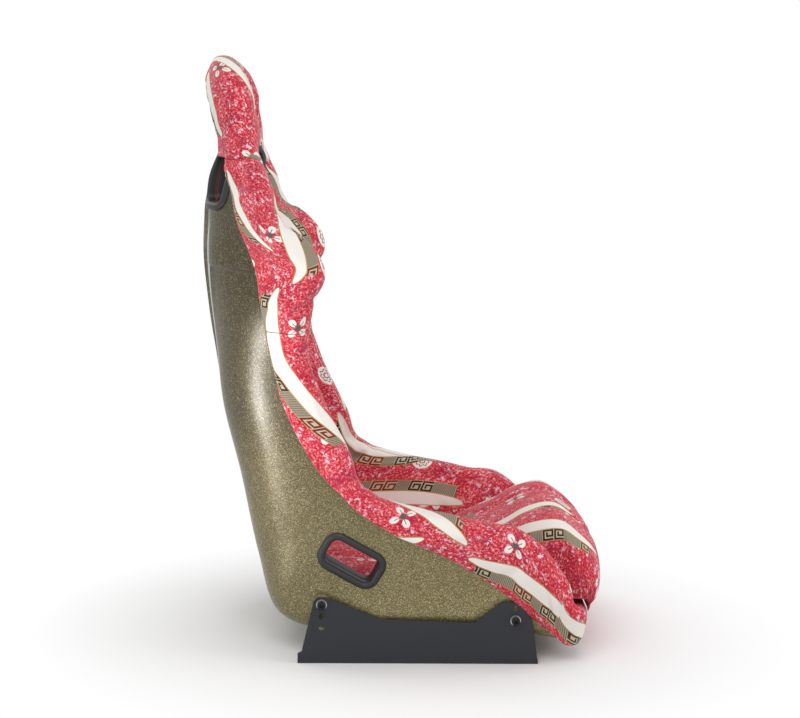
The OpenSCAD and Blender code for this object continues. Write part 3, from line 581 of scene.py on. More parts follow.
def motif_lattice(along, across, length, width, shift_along, shift_across):
    """Place within each cell of a staggered lattice of motifs."""
    tall = (across + shift_across) / width
    x = (((along + shift_along) / length + tall.sum("FLOOR") * .5) % 1 - .5) * length
    return x, (tall % 1 - .5) * width


def mottled_ground(f, spot):
    """Red with dark swirls, pale flecks and clouds of crimson, and pale sprigs scattered over it."""
    cloud = f.noise(spot, 30, 2)
    swirl = f.noise(spot, 250, 4, .72)
    fleck = f.cells(spot, 430, "SMOOTH_F1")
    ground = f.ramp(swirl * .7 + fleck * .4 + (cloud - .5) * .22,
                    (.30, ink(108, 8, 34)), (.43, ink(180, 26, 48)),
                    (.55, ink(212, 60, 74)), (.70, ink(242, 166, 174)))
    ground = f.mix(f.range(f.noise(spot, 44, 2), .52, .68, 0, .55), ground, ink(158, 24, 66))
    sprig = (f.noise(spot, 120, 5, .75) > .58) * (f.noise(spot, 24, 1) > .48)
    return f.mix(sprig, ground, ink(232, 206, 220))


def print_blossoms(f, colour, along, across):
    """Blossoms of four ivory petals, with grey veins and heart."""
    x, y = motif_lattice(along, across, .168, .112, .015, .030)
    petal_x, petal_y = abs(x) - .0088, abs(y) - .0088
    long_way, short_way = (petal_x + petal_y) / .0098, (petal_x - petal_y) / .0074
    colour = f.mix((long_way * long_way + short_way * short_way) < 1, colour, ink(238, 230, 222))
    reach = (x * x + y * y).sum("SQRT")
    vein = (abs(abs(x) - abs(y)) < .0008) * (reach < .013)
    return f.mix((vein + (reach < .0042)).sum("MINIMUM", 1), colour, ink(84, 90, 84))


def print_rosettes(f, colour, along, across):
    """Rosettes of eight petals, drawn in dark red on a pale disc."""
    x, y = motif_lattice(along, across, .236, .150, .110, .095)
    reach = (x * x + y * y).sum("SQRT")
    colour = f.mix(reach < .0160, colour, ink(238, 231, 226))
    flower = (y.sum("ARCTAN2", x) * 8).sum("COSINE") * .0016 + .0095
    line = (abs(reach - flower) < .0009) + (abs(reach - .0042) < .0009)
    return f.mix(line.sum("MINIMUM", 1), colour, ink(120, 34, 44))


def print_ribbon(f, colour, along, across, ribbon):
    """An ivory leaf with pointed ends, a band of key blocks along one side, gold edges."""
    start, from_across, end, to_across, sag, leaf, side = ribbon
    length = end - start
    x = ((along - start) % REPEAT) / length
    hump = x * (1 - x) * 4
    middle = x * (to_across - from_across) + hump * sag + from_across
    slope = (1 - x * 2) * (4 * sag / length) + (to_across - from_across) / length
    squeeze = (slope * slope + 1).sum("INVERSE_SQRT")
    off = (across - middle) * squeeze
    half = hump.sum("MAXIMUM", 0) ** .42 * leaf
    inside = half - abs(off)
    beyond = (off * side - half) / band_w
    on_band = (beyond > 0) * (beyond < 1) * (x > .05) * (x < .93)
    path = x * (length * 1.06 / band_w)
    cell = path.sum("FLOOR") % 7
    keyed = ((cell < 1.5) + (cell > 3.5) * (cell < 5.5)).sum("MINIMUM", 1)
    hatch = f.mix((path * 7 % 1) < .42, ink(158, 148, 128), ink(104, 96, 80))
    dark = f.mix(cell > 3, ink(40, 36, 32), ink(116, 38, 30))
    key = f.mix(key_spiral(path % 1, beyond), ink(196, 182, 152), dark)
    colour = f.mix(on_band, colour, f.mix(keyed, hatch, key))
    colour = f.mix((inside > 0) * (x < 1), colour, ink(238, 233, 226))
    gold = (abs(inside) < .0008) * (x < 1) + on_band * ((beyond > .94) + (beyond < .05))
    return f.mix(gold.sum("MINIMUM", 1), colour, ink(190, 146, 78))


def stitch_seam(f, colour, way, run):
    """A dark groove with a row of pale stitches beside it."""
    colour = f.mix((way < .0011) * .55, colour, ink(70, 10, 20))
    return f.mix((abs(way - .0032) < .0005) * ((run / .0052 % 1) < .66), colour, ink(224, 200, 190))


def printed_cloth(name, ribbons, shift=0.0, seam_across=(), seam_along=(), seam_beside=()):
    """Mottled red cloth with blossoms, rosettes and ribbons printed on it, and its stitched seams."""
    f = Finish(name, Roughness=.72, Sheen_Weight=.12, Sheen_Roughness=.5, Specular_IOR_Level=.3)
    along, across, _ = f.split(f.node("ShaderNodeUVMap", {"uv_map": "cloth"}))
    beside = abs(f.split(f.place())[1])
    seams = [(abs(across - where), along) for where in seam_across]
    seams += [(abs(along - where), across) for where in seam_along]
    seams += [(abs(beside - where), along) for where in seam_beside]
    along = along + shift
    colour = mottled_ground(f, f.node("ShaderNodeCombineXYZ", values={0: along, 1: across}))
    colour = print_blossoms(f, colour, along, across)
    colour = print_rosettes(f, colour, along, across)
    for ribbon in ribbons:
        colour = print_ribbon(f, colour, along, across, ribbon)
    for way, run in seams:
        colour = stitch_seam(f, colour, way, run)
    f.set("Base Color", colour)
    pitch = 2 * math.pi / thread_gap
    weave = f.bump((along * pitch).sum("SINE") * (across * pitch).sum("SINE"), .2, .0002)
    f.set("Normal", f.bump(f.noise(f.place(), 38, 3), .3, .003, weave))
    return f.material


def flake_gelcoat():
    """Gold flakes in an olive base with painted shade: the base is painted dark brown up the back and towards
    the rear, and lighter low down and towards the front; silver stripes, a clear coat over all.
    """
    f = Finish("olive_flake_gelcoat", Metallic=.5, Coat_Weight=.5, Coat_Roughness=.3, Specular_IOR_Level=.3)
    spot = f.place()
    back, side, height = f.split(spot)
    tint, turn, tilt = f.split(f.cells(spot, 1050, output=1))
    spark = f.split(f.cells(spot, 1900, output=1))[0]
    # Painted light and shade: low is the lit olive of the lower, front part of the shell; high is the same
    # flakes in painted shade, dark brown.
    low = f.ramp(tint, (0, ink(90, 79, 44)), (.5, ink(137, 126, 84)),
                 (.85, ink(166, 155, 108)), (.98, ink(214, 205, 162)))
    high = f.ramp(tint, (0, ink(20, 14, 4)), (.5, ink(51, 42, 20)),
                  (.85, ink(82, 70, 38)), (.98, ink(146, 132, 92)))
    cloud = f.noise(spot, 7, 3)
    # Painted shade: darker with height and towards the back, lighter towards the front, standing in for how
    # the lamps fall on the shell; the noise breaks up its edge.
    colour = f.mix(f.range(height - back * .6 + cloud * .2, .14, .66), low, high)
    colour = f.mix(f.range(spark, .5, 1, 0, .45), colour, ink(88, 78, 44))
    half = f.range(height, .30, .52, 0, .0085) * f.range(height, .655, .60)
    off = abs(abs(side) - f.range(height, .30, .66, .112, .100))
    behind = back < -.24
    colour = f.mix((off < half + .0016) * behind * (half > .0005), colour, ink(38, 32, 24))
    colour = f.mix((off < half) * behind, colour, ink(176, 174, 168))
    f.set("Base Color", colour)
    f.set("Roughness", f.range(turn, 0, 1, .34, .52))
    f.set("Normal", f.bump(tilt, .3, .0006))
    return f.material


def plain_finish(name, colour, grain, depth, rough, worn=.06, **constants):
    """A moulded, coated or plated surface with a fine grain and a little cloudiness."""
    f = Finish(name, **constants)
    spot = f.place()
    cloud = f.noise(spot, 9, 4)
    fine = f.noise(spot, grain, 2)
    dark = tuple(c * (1 - worn) for c in colour[:3]) + (1,)
    light = tuple(min(1, c * (1 + 2 * worn)) for c in colour[:3]) + (1,)
    f.set("Base Color", f.mix(cloud, dark, light))
    f.set("Roughness", f.range(cloud, .3, .7, rough - .05, rough + .06))
    f.set("Normal", f.bump(fine, .5, depth))
    return f.material


cloth_side = printed_cloth("printed_cloth", SIDE_RIBBONS, seam_across=(EDGE_SEAM,))
gelcoat = flake_gelcoat()
trim = plain_finish("black_grained_trim", ink(30, 30, 31), 700, .00015, .48)
powder_coat = plain_finish("charcoal_powder_coat", ink(33, 35, 41), 650, .00012, .52, Specular_IOR_Level=.45)
zinc = plain_finish("zinc_plated_steel", ink(176, 178, 180), 500, .00004, .3, .1, Metallic=.95)
black_steel = plain_finish("blackened_steel", ink(26, 26, 28), 500, .00004, .38, .1, Metallic=.5)
tape_cloth = plain_finish("hook_and_loop", ink(24, 24, 25), 2600, .0008, .9)

# ---- Shell ----
LEDGE_U, ledge_under, ledge_over = 6.15, 4, 2.5    # a shallow ledge across each side, under the shoulders


def make_shell():
    near_ledge = np.linspace(LEDGE_U - .05, LEDGE_U + .2, 8)
    fine_u = np.unique(np.concatenate([np.linspace(0, LAST, LAST * 9 + 1), near_ledge]))
    columns = np.concatenate([np.linspace(0, FLOOR_COL, 19)[:-1], np.linspace(FLOOR_COL, WRAP_COL, 9)[:-1],
                              np.linspace(WRAP_COL, RIM_COL, 11)])
    columns = np.concatenate([-columns[:0:-1], columns])
    uu, jj = np.meshgrid(fine_u, np.abs(columns), indexing="ij")
    beside = smooth((jj - 4.6) / 1.2) * (1 - smooth((jj - 11.5) / 1.5))
    step = smooth((uu - LEDGE_U) / .12)
    under = ledge_under * step * (1 - smooth((uu - LEDGE_U - .3) / 2.1))
    over = ledge_over * smooth((uu - LEDGE_U + .9) / .8) * (1 - step)
    outer = off_skin(fine_u, columns, (over - under) * beside)
    inner = off_skin(fine_u, columns, -shell_t)
    rows, count = outer.shape[:2]
    shift = rows * count
    edge = [[i * count + k, (i + 1) * count + k, (i + 1) * count + k + shift, i * count + k + shift]
            for i in range(rows - 1) for k in (0, count - 1)]
    faces = np.concatenate([grid_faces(rows, count), grid_faces(rows, count, shift, turned=True), edge])
    points = np.concatenate([outer.reshape(-1, 3), inner.reshape(-1, 3)])
    shell = new_mesh("bucket_shell", points, faces, None, gelcoat)
    tidy_mesh(shell)
    return shell


def slot_cutter(name, width, height, radius, place, length=240):
    """A rounded bar through a slot."""
    bpy.ops.mesh.primitive_cube_add(size=1)
    bar = bpy.context.active_object
    bar.name = name
    bar.scale = (width * MM, height * MM, length * MM)
    bpy.ops.object.transform_apply(location=False, rotation=False, scale=True)
    bpy.ops.object.mode_set(mode="EDIT")
    bpy.ops.mesh.select_mode(type="EDGE")
    bpy.ops.mesh.select_all(action="DESELECT")
    edit = bmesh.from_edit_mesh(bar.data)
    for edge in edit.edges:
        a, b = edge.verts
        edge.select_set(abs(a.co.z - b.co.z) > length * MM / 2)
    bmesh.update_edit_mesh(bar.data)
    bpy.ops.mesh.bevel(offset=radius * MM, segments=8)
    bpy.ops.object.mode_set(mode="OBJECT")
    bar.data.transform(place)
    return bar


def cut(piece, tool, operation="DIFFERENCE", solver="EXACT"):
    only(piece)
    modifier = piece.modifiers.new("cut", "BOOLEAN")
    modifier.object, modifier.operation, modifier.solver = tool, operation, solver
    bpy.ops.object.modifier_apply(modifier="cut")


def at(*middle):
    return Matrix.Translation(Vector(middle) * MM)


def spin(axis, degrees):
    return Matrix.Rotation(math.radians(degrees), 4, axis)


# Each slot's width and height, its middle and how it is turned
SLOTS = {
    "shoulder": (*shoulder_slot,
                 at(back_x + 33, 88, slot_z) @ spin("Z", -15) @ spin("Z", 90) @ spin("X", 90)),
    "lap": (*lap_slot, at(-101, wall_hw + 4, 157) @ spin("X", 82) @ spin("Z", -28)),
    "crotch": (*crotch_slot, at(40, 0, pan_z) @ spin("Z", 90))}


def cut_slots(piece, kinds, both=True, solver="EXACT"):
    grow = rim_t + fit
    for kind in kinds:
        width, height, place = SLOTS[kind]
        bars = [slot_cutter(kind + "_bar", width + 2 * grow, height + 2 * grow, slot_r + grow, place)]
        if both and kind != "crotch":
            bars.append(mirrored(bars[0], kind + "_bar_far"))
        for bar in bars:
            cut(piece, bar, solver=solver)
            bpy.data.objects.remove(bar)


def surface_tree(*pieces):
    """What a ray meets on the given pieces as they are now."""
    points, faces = [], []
    for piece in pieces:
        start = len(points)
        points.extend(v.co.copy() for v in piece.data.vertices)
        faces.extend([start + v for v in face.vertices] for face in piece.data.polygons)
    return BVHTree.FromPolygons(points, faces)


def slot_outline(width, height, radius, count=14):
    """Points of a rounded rectangle with the directions that face out of it."""
    signs = ((1, 1), (-1, 1), (-1, -1), (1, -1))
    middles = [Vector((sx * (width / 2 - radius), sy * (height / 2 - radius))) for sx, sy in signs]
    outline = []
    for turn, middle in enumerate(middles):
        for k in range(count):
            angle = math.pi / 2 * (turn + k / (count - 1))
            way = Vector((math.cos(angle), math.sin(angle)))
            outline.append((middle + way * radius, way))
        end, goal = outline[-1][0], middles[(turn + 1) % 4] + way * radius
        outline.extend((end.lerp(goal, share), way) for share in (.2, .4, .6, .8))
    return outline


# Profiles of the rims: way out from the slot's edge, and height over what the rim lies on
bezel_depth, collar_depth, rim_reach = 10, 12, 11.5
OUTER_RIM = [(0, -bezel_depth), (0, -4), (0, 0), (.3, 1.6), (1.2, 3.3), (2.8, 4.6), (5, 5.2), (7.4, 4.9),
             (9.4, 3.8), (10.9, 2.2), (rim_reach, .9), (11.4, .3), (rim_t, .3), (rim_t, -bezel_depth)]
INNER_RIM = [(0, -collar_depth), (0, -4), (0, 0), (.3, 1.4), (1.2, 2.6), (2.8, 3.3), (5, 3.6), (7.4, 3.4),
             (9.4, 2.7), (10.9, 1.5), (rim_reach, .3), (10.9, -.6), (rim_t, -.8), (rim_t, -collar_depth)]
ray_start = 115


def slot_rim(name, kind, profile, tree, far_end, back_tree=None):
    """A rounded rim that follows what it lies on; rays along the slot find that surface from its far end.
    With a tree behind it, the deep end of its wall stops just short of the rim that lies on that surface."""
    width, height, place = SLOTS[kind]
    axis = (place.to_3x3() @ Vector((0, 0, 1))).normalized() * far_end

    def on_slot(point):
        return place @ Vector((point.x * MM, point.y * MM, 0))

    def level_of(spot):
        return (spot - place.translation).dot(axis)

    rings = []
    for point, way in slot_outline(width, height, slot_r):
        known = []
        for out in (0, 3.5, 7.5, rim_reach):
            seat = tree.ray_cast(on_slot(point + way * out) + axis * (ray_start * MM), -axis)[0]
            if seat is not None:
                known.append((out, level_of(seat)))
        wall_end = None
        if back_tree:
            behind = back_tree.ray_cast(on_slot(point) - axis * (ray_start * MM), axis)[0]
            wall_end = level_of(behind) + (bezel_depth + fit) * MM if behind else None
        ring = []
        for out, rise in profile:
            level = np.interp(out, *zip(*known)) + rise * MM
            if rise <= -bezel_depth and wall_end is not None:
                level = min(level, wall_end)
            base = on_slot(point + way * out)
            ring.append((base + axis * (level - level_of(base))) / MM)
        rings.append(ring)
    count, steps = len(rings), len(profile)
    faces = []
    for i in range(count):
        here, after = i * steps, (i + 1) % count * steps
        for k in range(steps):
            over = (k + 1) % steps
            faces.append([here + k, after + k, after + over, here + over])
    rim = new_mesh(name, np.array(rings), faces, None, trim)
    tidy_mesh(rim, .01)
    refine(rim)
    smooth_shade(rim, 50)
    return rim


def rim_pair(name, kind, profile, tree, far_end, back_tree=None):
    near = slot_rim(name + "_left_rim", kind, profile, tree, far_end, back_tree)
    for rim, side in ((near, "left"), (mirrored(near, name + "_right_rim"), "right")):
        declare(rim, name + "_" + side)


shell = make_shell()
bare_shell = surface_tree(shell)
boss_y, boss_length, bore_length = 195, 20, 60
for side in (1, -1):
    for x, z in ((-bolt_pitch / 2, rear_bolt_z), (bolt_pitch / 2, front_bolt_z)):
        for radius, length, way in ((boss_r, boss_length, "UNION"), (bore_r, bore_length, "DIFFERENCE")):
            bpy.ops.mesh.primitive_cylinder_add(
                vertices=48, radius=radius * MM, depth=length * MM,
                location=(x * MM, side * boss_y * MM, z * MM), rotation=(math.pi / 2, 0, 0))
            bar = bpy.context.active_object
            cut(shell, bar, way)
            bpy.data.objects.remove(bar)
cut_slots(shell, ("shoulder", "lap", "crotch"))
smooth_shade(shell, 35)


def declare(piece, node):
    """The piece stands for a node of the part."""
    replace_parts(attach(piece, "root"), node)


declare(shell, "shell")
rim_pair("shoulder_slot_bezel", "shoulder", OUTER_RIM, bare_shell, -1)
rim_pair("lap_slot_bezel", "lap", OUTER_RIM, bare_shell, -1)


# ---- Wrapped side pads ----
def path_lengths(points):
    """How far each point is along the line through them."""
    return np.concatenate([[0], np.cumsum(np.linalg.norm(np.diff(points, axis=0), axis=1))])


FINE_U = np.linspace(0, LAST, LAST * 10 + 1)
RIM_PATH = path_lengths(skin(FINE_U, np.ones_like(FINE_U)) + rim_direction(FINE_U) * nose) * MM
# The headrest's front panel is mapped by its height, from this place on the cloth,
# and takes this many columns on each side of its middle
FRONT_CHART, front_columns = .9, 17


def along_rim(u):
    """Way along the rim's crest, in metres."""
    return np.interp(u, FINE_U, RIM_PATH)


def wrap_depth(u, j):
    """How far a cover stands off the outside of the shell: a thin hem, full on the wrap, more at the lip."""
    extra = 9 * smooth((u - LIP_START + 1) / 2)
    full = fit + wrap_t + extra
    edge = fit + 3
    roll = smooth((j - WRAP_COL) / .8)
    return edge + (full - edge) * roll


def side_grids(u, end, out_count=12, nose_count=14, in_count=20):
    """A cover's visible face and its side on the shell, from the hem outside over the rim to column end,
    and which of its columns is the rim's crest."""
    j_out = np.linspace(WRAP_COL, RIM_COL, out_count)
    j_in = np.linspace(RIM_COL, end, in_count)
    uu, jj = np.meshgrid(u, j_out, indexing="ij")
    rims = rim_direction(u)[:, None, :]
    face_out = off_skin(u, j_out, wrap_depth(uu, jj))
    face_in = off_skin(u, j_in, -inner_gap - foam(u, j_in))
    groove_out = off_skin(u, j_out, fit)
    groove_in = off_skin(u, j_in, -inner_gap)
    groove_out[:, -1] += rims[:, 0] * fit
    groove_in[:, 0] += rims[:, 0] * fit
    angle = np.linspace(0, math.pi, nose_count + 2)[1:-1][None, :, None]
    middle = (face_out[:, -1] + face_in[:, 0])[:, None] / 2
    half = (face_out[:, -1] - face_in[:, 0])[:, None] / 2
    face_nose = middle + half * np.cos(angle) + rims * nose * np.sin(angle)
    share = np.linspace(0, 1, nose_count + 2)[1:-1][None, :, None]
    groove_nose = groove_out[:, -1:] * (1 - share) + groove_in[:, :1] * share
    face = np.concatenate([face_out, face_nose, face_in], 1)
    groove = np.concatenate([groove_out, groove_nose, groove_in], 1)
    return face, groove, out_count + nose_count // 2


def cloth_across(face, crest):
    """Signed way over the cloth from the rim's crest, positive outside the seat."""
    steps = np.linalg.norm(np.diff(face, axis=1), axis=2)
    way = np.concatenate([np.zeros((len(face), 1)), np.cumsum(steps, 1)], 1)
    return (way[:, crest:crest + 1] - way) * MM


def over_columns(way, face):
    return np.repeat(way[:, None], face.shape[1], 1)


def side_pad(name, start, end):
    u = np.linspace(start, end, int(round((end - start) * 10)) + 1)
    face, groove, crest = side_grids(u, FLOOR_COL)
    chart = np.stack([over_columns(along_rim(u), face), cloth_across(face, crest)], 2)
    return closed_pad(name, face, groove, [chart], cloth_side)


def sew_side(piece, ends, cross_seams=()):
    """The long seam just inside the rim, and seams across at the given ways along the rim."""
    refine(piece, ends)
    places = cloth_places(piece)
    beside = np.where(np.abs(places[:, 0] + corners(piece)[:, 2] - FRONT_CHART) < .001, 1, 0)
    draw_in(piece, places[:, 1] - EDGE_SEAM + beside, 1.6, 5)
    for along in cross_seams:
        draw_in(piece, places[:, 0] - along + beside, 1.0, 4.5)


def gather(piece, folds):
    """Soft folds where the cover bends.
    Each is its station, its way across, its half sizes, its lean and its height."""
    places = cloth_places(piece)
    lift = np.zeros(len(places))
    for u, across, length, width, lean, height in folds:
        x = places[:, 0] - along_rim(u)
        y = places[:, 1] - across
        run = x * math.cos(lean) + y * math.sin(lean)
        off = y * math.cos(lean) - x * math.sin(lean) + .006 * np.sin(run / length * 2.2)
        crest, trough = np.exp(-(off / width) ** 2), np.exp(-((off - 1.7 * width) / width) ** 2)
        lift += height * np.exp(-(run / length) ** 2) * (crest - .55 * trough)
    sewn = piece.vertex_groups["sewn"].index
    for vertex in piece.data.vertices:
        if any(g.group == sewn and g.weight > .5 for g in vertex.groups):
            lift[vertex.index] = 0
    move_to(piece, corners(piece) + directions(piece) * lift[:, None] * MM)


shoulder_pad = side_pad("shoulder_bolster_cover_left", HEAD_END, SHOULDER_END)
puff(shoulder_pad, 5)
sew_side(shoulder_pad, (along_rim(HEAD_END), along_rim(SHOULDER_END)), (along_rim(SHOULDER_END),))
gather(shoulder_pad, [
    (7.1, -.045, .040, .006, .7, 1.9), (7.0, .028, .034, .006, -.9, 1.6),
    (6.8, .050, .030, .005, -.8, 1.3), (4.4, -.020, .036, .006, .5, 1.5),
    (4.9, .034, .040, .006, .25, 1.3), (5.9, -.070, .045, .007, 1.1, 1.7),
    (3.9, .040, .028, .005, -.5, 1.2)])
thigh_pad = side_pad("thigh_bolster_cover_left", SHOULDER_END, LIP_START)
puff(thigh_pad, 5)
sew_side(thigh_pad, (along_rim(SHOULDER_END), along_rim(LIP_START)), (along_rim(SHOULDER_END),))
gather(thigh_pad, [
    (7.9, .030, .036, .006, .8, 1.6), (8.2, -.050, .050, .007, -.6, 1.9),
    (9.4, -.055, .060, .008, -.2, 2.2), (10.2, -.045, .060, .007, .35, 2.2),
    (10.9, -.060, .055, .008, 1.2, 2.4), (11.5, -.050, .050, .007, 1.5, 2.2),
    (12.0, -.055, .050, .008, 1.3, 2.0), (10.8, .010, .050, .006, .3, 1.6),
    (12.8, -.040, .060, .007, .5, 1.8), (14.3, -.030, .070, .007, .15, 1.7),
    (15.4, .012, .050, .007, .5, 1.8), (16.0, .040, .040, .006, .9, 1.6),
    (13.2, .020, .060, .006, .1, 1.3)])


def headrest():
    u = np.linspace(0, HEAD_END, 36)
    face, groove, crest = side_grids(u, 0, in_count=34)
    across, along = cloth_across(face, crest), over_columns(along_rim(u), face)
    both = np.concatenate([face, (face * MIRROR)[:, -2::-1]], 1)
    both_groove = np.concatenate([groove, (groove * MIRROR)[:, -2::-1]], 1)
    side_chart = np.concatenate([np.stack([along, across], 2), np.stack([-along, across], 2)[:, -2::-1]], 1)
    front = both[..., [2, 1]] * MM * [-1, 1]
    front[..., 0] += FRONT_CHART
    columns = both.shape[1]
    panel = [int(abs(k + .5 - columns // 2) < front_columns) for k in range(columns)]
    charts = [side_chart, front]
    return closed_pad("headrest_cover", both, both_groove, charts, cloth_side, panel, folded_start=True)


head_pad = headrest()
puff(head_pad, 4)
sew_side(head_pad, (along_rim(HEAD_END),), (along_rim(1.9),))


def front_lip():
    u = np.linspace(LIP_START, LAST, 26)
    face, groove, crest = side_grids(u, FLOOR_COL)
    across, along = cloth_across(face, crest), over_columns(along_rim(u), face)
    whole = 2 * RIM_PATH[-1] - along
    face = np.concatenate([face, (face * MIRROR)[-2::-1]])
    groove = np.concatenate([groove, (groove * MIRROR)[-2::-1]])
    chart = np.concatenate([np.stack([along, across], 2), np.stack([whole, across], 2)[-2::-1]])
    return closed_pad("front_lip_cover", face, groove, [chart], cloth_side)


lip_pad = front_lip()
puff(lip_pad, 4)
sew_side(lip_pad, (along_rim(LIP_START), 2 * RIM_PATH[-1] - along_rim(LIP_START)))


CHANNELS, print_start = (5.5, 7, 8.5, 10), 180


def backrest():
    u = np.linspace(HEAD_END, BACKREST_END, 97)
    j = np.linspace(FLOOR_COL, -FLOOR_COL, 41)
    uu, jj = np.meshgrid(u, j, indexing="ij")
    groove = off_skin(u, j, -inner_gap)
    near = np.min([np.abs(uu - c) for c in CHANNELS], 0)
    channel = np.maximum(0, 1 - near / .28) ** 2
    face = off_skin(u, j, -inner_gap - foam(u, j) + 1.4 * channel_d * channel * (1 - (jj / FLOOR_COL) ** 2))
    spine = path_lengths(face[:, len(j) // 2]) + print_start
    chart = np.stack([over_columns(spine, face), face[..., 1]], 2) * MM
    seams = [float(way) for way in np.interp(CHANNELS, u, spine) * MM]
    cloth = printed_cloth("printed_cloth_back", SEAT_RIBBONS, .13, seam_along=seams)
    return closed_pad("backrest_cover", face, groove, [chart], cloth), seams


back_pad, back_seams = backrest()
puff(back_pad, 6)
refine(back_pad)
for along in back_seams:
    draw_in(back_pad, cloth_places(back_pad)[:, 0] - along, 2.2, 6)

# ---- Slots through the pads, and the inner rims that lie on them ----
shoulder_face = surface_tree(head_pad, shoulder_pad, back_pad)
thigh_face = surface_tree(thigh_pad)
cut_slots(head_pad, ("shoulder",), solver="FAST")
cut_slots(back_pad, ("shoulder",))
cut_slots(shoulder_pad, ("shoulder",), both=False)
cut_slots(thigh_pad, ("lap",), both=False)
for cover, node in ((head_pad, "headrest_pad"), (lip_pad, "front_lip_pad"), (back_pad, "backrest_pad")):
    smooth_shade(cover, 50)
    declare(cover, node)
for cover, node in ((shoulder_pad, "shoulder_bolster"), (thigh_pad, "thigh_bolster")):
    smooth_shade(cover, 50)
    for twin, side in ((cover, "left"), (mirrored(cover, node + "_cover_right"), "right")):
        declare(twin, node + "_" + side)
rim_pair("shoulder_slot_collar", "shoulder", INNER_RIM, shoulder_face, 1, bare_shell)
rim_pair("lap_slot_collar", "lap", INNER_RIM, thigh_face, 1, bare_shell)

# ---- Seat cushion: three lobes, drawn-in sides, a front that rolls over the lip ----
cushion_floor = pan_z + inner_gap + 2 * tape_t + 2 * fit
cushion_lip = lip_z + nose + 3
front_gap = lip_x + nose + 4
# Each row: top x, top z, foot x, foot z, half-width
CUSHION = np.array([
    [back_x + 122, pan_z + 78, back_x + 128, pan_z + 46, cushion_hw - 30],
    [back_x + 132, pan_z + 92, back_x + 142, pan_z + 32, cushion_hw - 18],
    [back_x + 160, pan_z + 94, back_x + 170, cushion_floor + 6, cushion_hw - 8],
    [hip_x - 20, pan_z + 90, hip_x - 20, cushion_floor, cushion_hw],
    [hip_x + 115, pan_z + 88, hip_x + 115, cushion_floor, cushion_hw + 3],
    [lip_x - 115, cushion_top_z - 34, lip_x - 105, cushion_floor, cushion_hw + 4],
    [lip_x - 68, cushion_top_z - 8, lip_x - 62, cushion_floor + 8, cushion_hw + 6],
    [lip_x - 28, cushion_top_z, lip_x - 34, cushion_lip, cushion_front_hw - 16],
    [lip_x + 5, cushion_top_z - 17, lip_x - 8, cushion_lip + 6, cushion_front_hw - 4],
    [cushion_x - 7, cushion_top_z - 46, lip_x + 12, cushion_lip + 6, cushion_front_hw],
    [cushion_x + 1, cushion_top_z - 90, front_gap, cushion_lip, cushion_front_hw],
    [cushion_x - 7, lip_z + 24, front_gap, lip_z + 12, cushion_front_hw - 4],
    [cushion_x - 18, lip_z + 8, front_gap + 1, lip_z + 5, cushion_front_hw - 12],
], float)


def cushion():
    last = len(CUSHION) - 1
    u = np.linspace(0, last, last * 8 + 1)
    k = np.minimum(np.floor(u), last - 1).astype(int)
    rows = spline(*(CUSHION[np.clip(k + step, 0, last)] for step in (-1, 0, 1, 2)), (u - k)[:, None])
    top_x, top_z, low_x, low_z, half = (rows[:, c:c + 1] for c in range(5))
    f = np.linspace(-1, 1, 57)[None, :]
    share = np.sin(math.pi / 2 * f)
    height = 1 - .45 * np.abs(f) ** 4
    # The sides round down and in to the foot.
    down = np.linspace(0, 1, 9)[1:][None, :]
    side_share, side_height = 1 - .07 * down ** 2.2, .55 * (1 - down)
    share = np.concatenate([-side_share[:, ::-1], share, side_share], 1)
    height = np.concatenate([side_height[:, ::-1], height, side_height], 1)
    y = half * share
    front = smooth((u - 6.5) / 2.5)[:, None]
    bow = 13 * front * np.abs(share) ** 2.5
    tall = np.hypot(top_x - low_x, top_z - low_z)
    lobe = np.maximum(0, 1 - np.abs(np.abs(y) - lobe_y) / 24) ** 1.7
    dip = np.minimum(.34, (1.5 + 1.1 * front) * channel_d * lobe / tall) * (height > .5)
    height = np.maximum(0, height - dip)
    face = np.stack([low_x + (top_x - bow - low_x) * height, y, low_z + (top_z - low_z) * height], 2)
    foot = np.stack([low_x + 0 * y, y * .93, low_z + 0 * y], 2)
    middle = face.shape[1] // 2
    way = path_lengths(face[:, middle]) * MM
    chart = np.stack([over_columns(way, face), -cloth_across(face, middle)], 2)
    cloth = printed_cloth("printed_cloth_cushion", SEAT_RIBBONS, .02, seam_beside=(lobe_y * MM,))
    return closed_pad("seat_cushion_cover", face, foot, [chart], cloth)


seat = cushion()
puff(seat, 7)
refine(seat)
beside, height = np.abs(corners(seat)[:, 1]), corners(seat)[:, 2]
draw_in(seat, beside - lobe_y * MM + (height < (cushion_floor + 14) * MM), 2.4, 6)
cut_slots(seat, ("crotch",))
smooth_shade(seat, 50)
declare(seat, "seat_cushion")

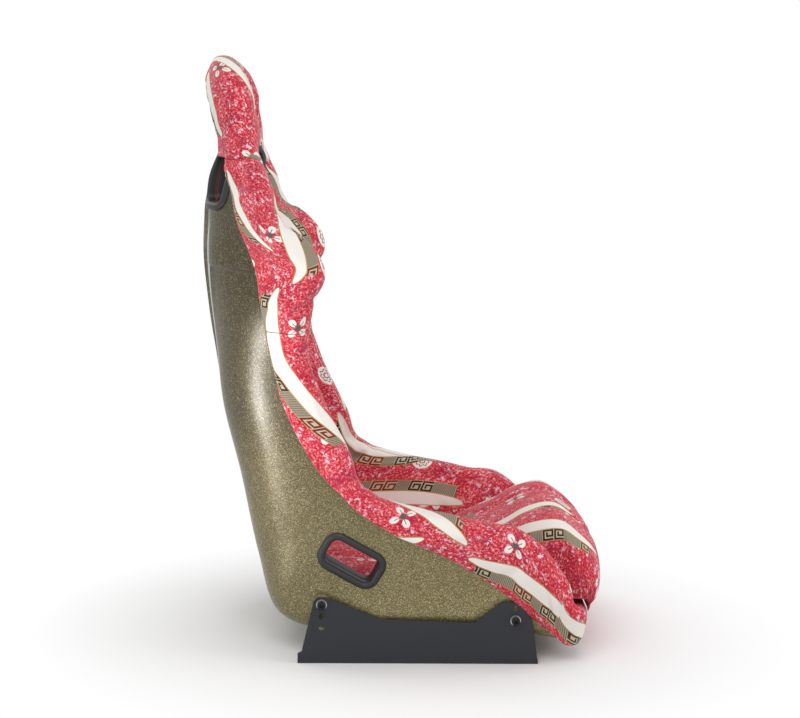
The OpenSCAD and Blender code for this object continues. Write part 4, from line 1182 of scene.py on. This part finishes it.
# ---- Finishes of the parts that keep their solids ----
for name, node in NODES.items():
    finish = None
    if "bezel" in name or "collar" in name:
        finish = trim
    elif "bracket" in name:
        finish = powder_coat
    elif name in ("bolt_washers", "threaded_inserts") or "plate" in name:
        finish = zinc
    elif name == "mounting_bolts":
        finish = black_steel
    elif name in ("hook_strips", "loop_strips"):
        finish = tape_cloth
    if finish:
        node.data.materials.clear()
        node.data.materials.append(finish)

# ---- Floor, light and background ----
floor_near, floor_far, world_strength = .28, .60, .52
white = (1, 1, 1, 1)
bpy.ops.mesh.primitive_plane_add(size=40)
floor = bpy.context.active_object
floor.name = "studio_floor"
sweep = Finish("pale_floor", Roughness=.9)
sweep.set("Base Color", ink(250, 250, 250))
reach = sweep.node("ShaderNodeVectorMath", {"operation": "LENGTH"}, {0: sweep.place()}, output=1)
glow = sweep.node("ShaderNodeEmission", values={"Color": white, "Strength": 1.0})
shadowed = Link(sweep, sweep.shader.outputs[0])
share = sweep.range(reach, floor_near, floor_far) * sweep.seen_rays()
blend = sweep.node("ShaderNodeMixShader", values={0: share, 1: shadowed, 2: glow})
sweep.put(sweep.nodes["Material Output"].inputs["Surface"], blend)
floor.data.materials.append(sweep.material)

bpy.context.scene.view_settings.view_transform = "Standard"
world = bpy.data.worlds.new("studio")
bpy.context.scene.world = world
studio = Tree(world)
backdrop = studio.nodes["Background"].inputs
studio.put(backdrop["Color"], white)
studio.put(backdrop["Strength"], studio.range(studio.seen_rays(), 0, 1, world_strength))


def soft_light(name, place, aim, size, power, spread=180):
    lamp = bpy.data.lights.new(name, "AREA")
    lamp.shape, lamp.size, lamp.energy = "SQUARE", size, power
    lamp.spread = math.radians(spread)
    holder = bpy.data.objects.new(name, lamp)
    bpy.context.scene.collection.objects.link(holder)
    holder.location = place
    holder.rotation_euler = (Vector(aim) - Vector(place)).to_track_quat("-Z", "Y").to_euler()


soft_light("key_light", (-.4, -2.8, 2.9), (0, 0, .4), 2.2, 52)
soft_light("left_light", (-.94, -.56, .12), (-.22, -.17, .40), .16, .36, 44)
soft_light("front_light", (3.2, -.6, 2.2), (0, 0, .4), 2.0, 34)
soft_light("back_light", (-2.6, 2.2, 2.8), (0, 0, .4), 2.4, 26)
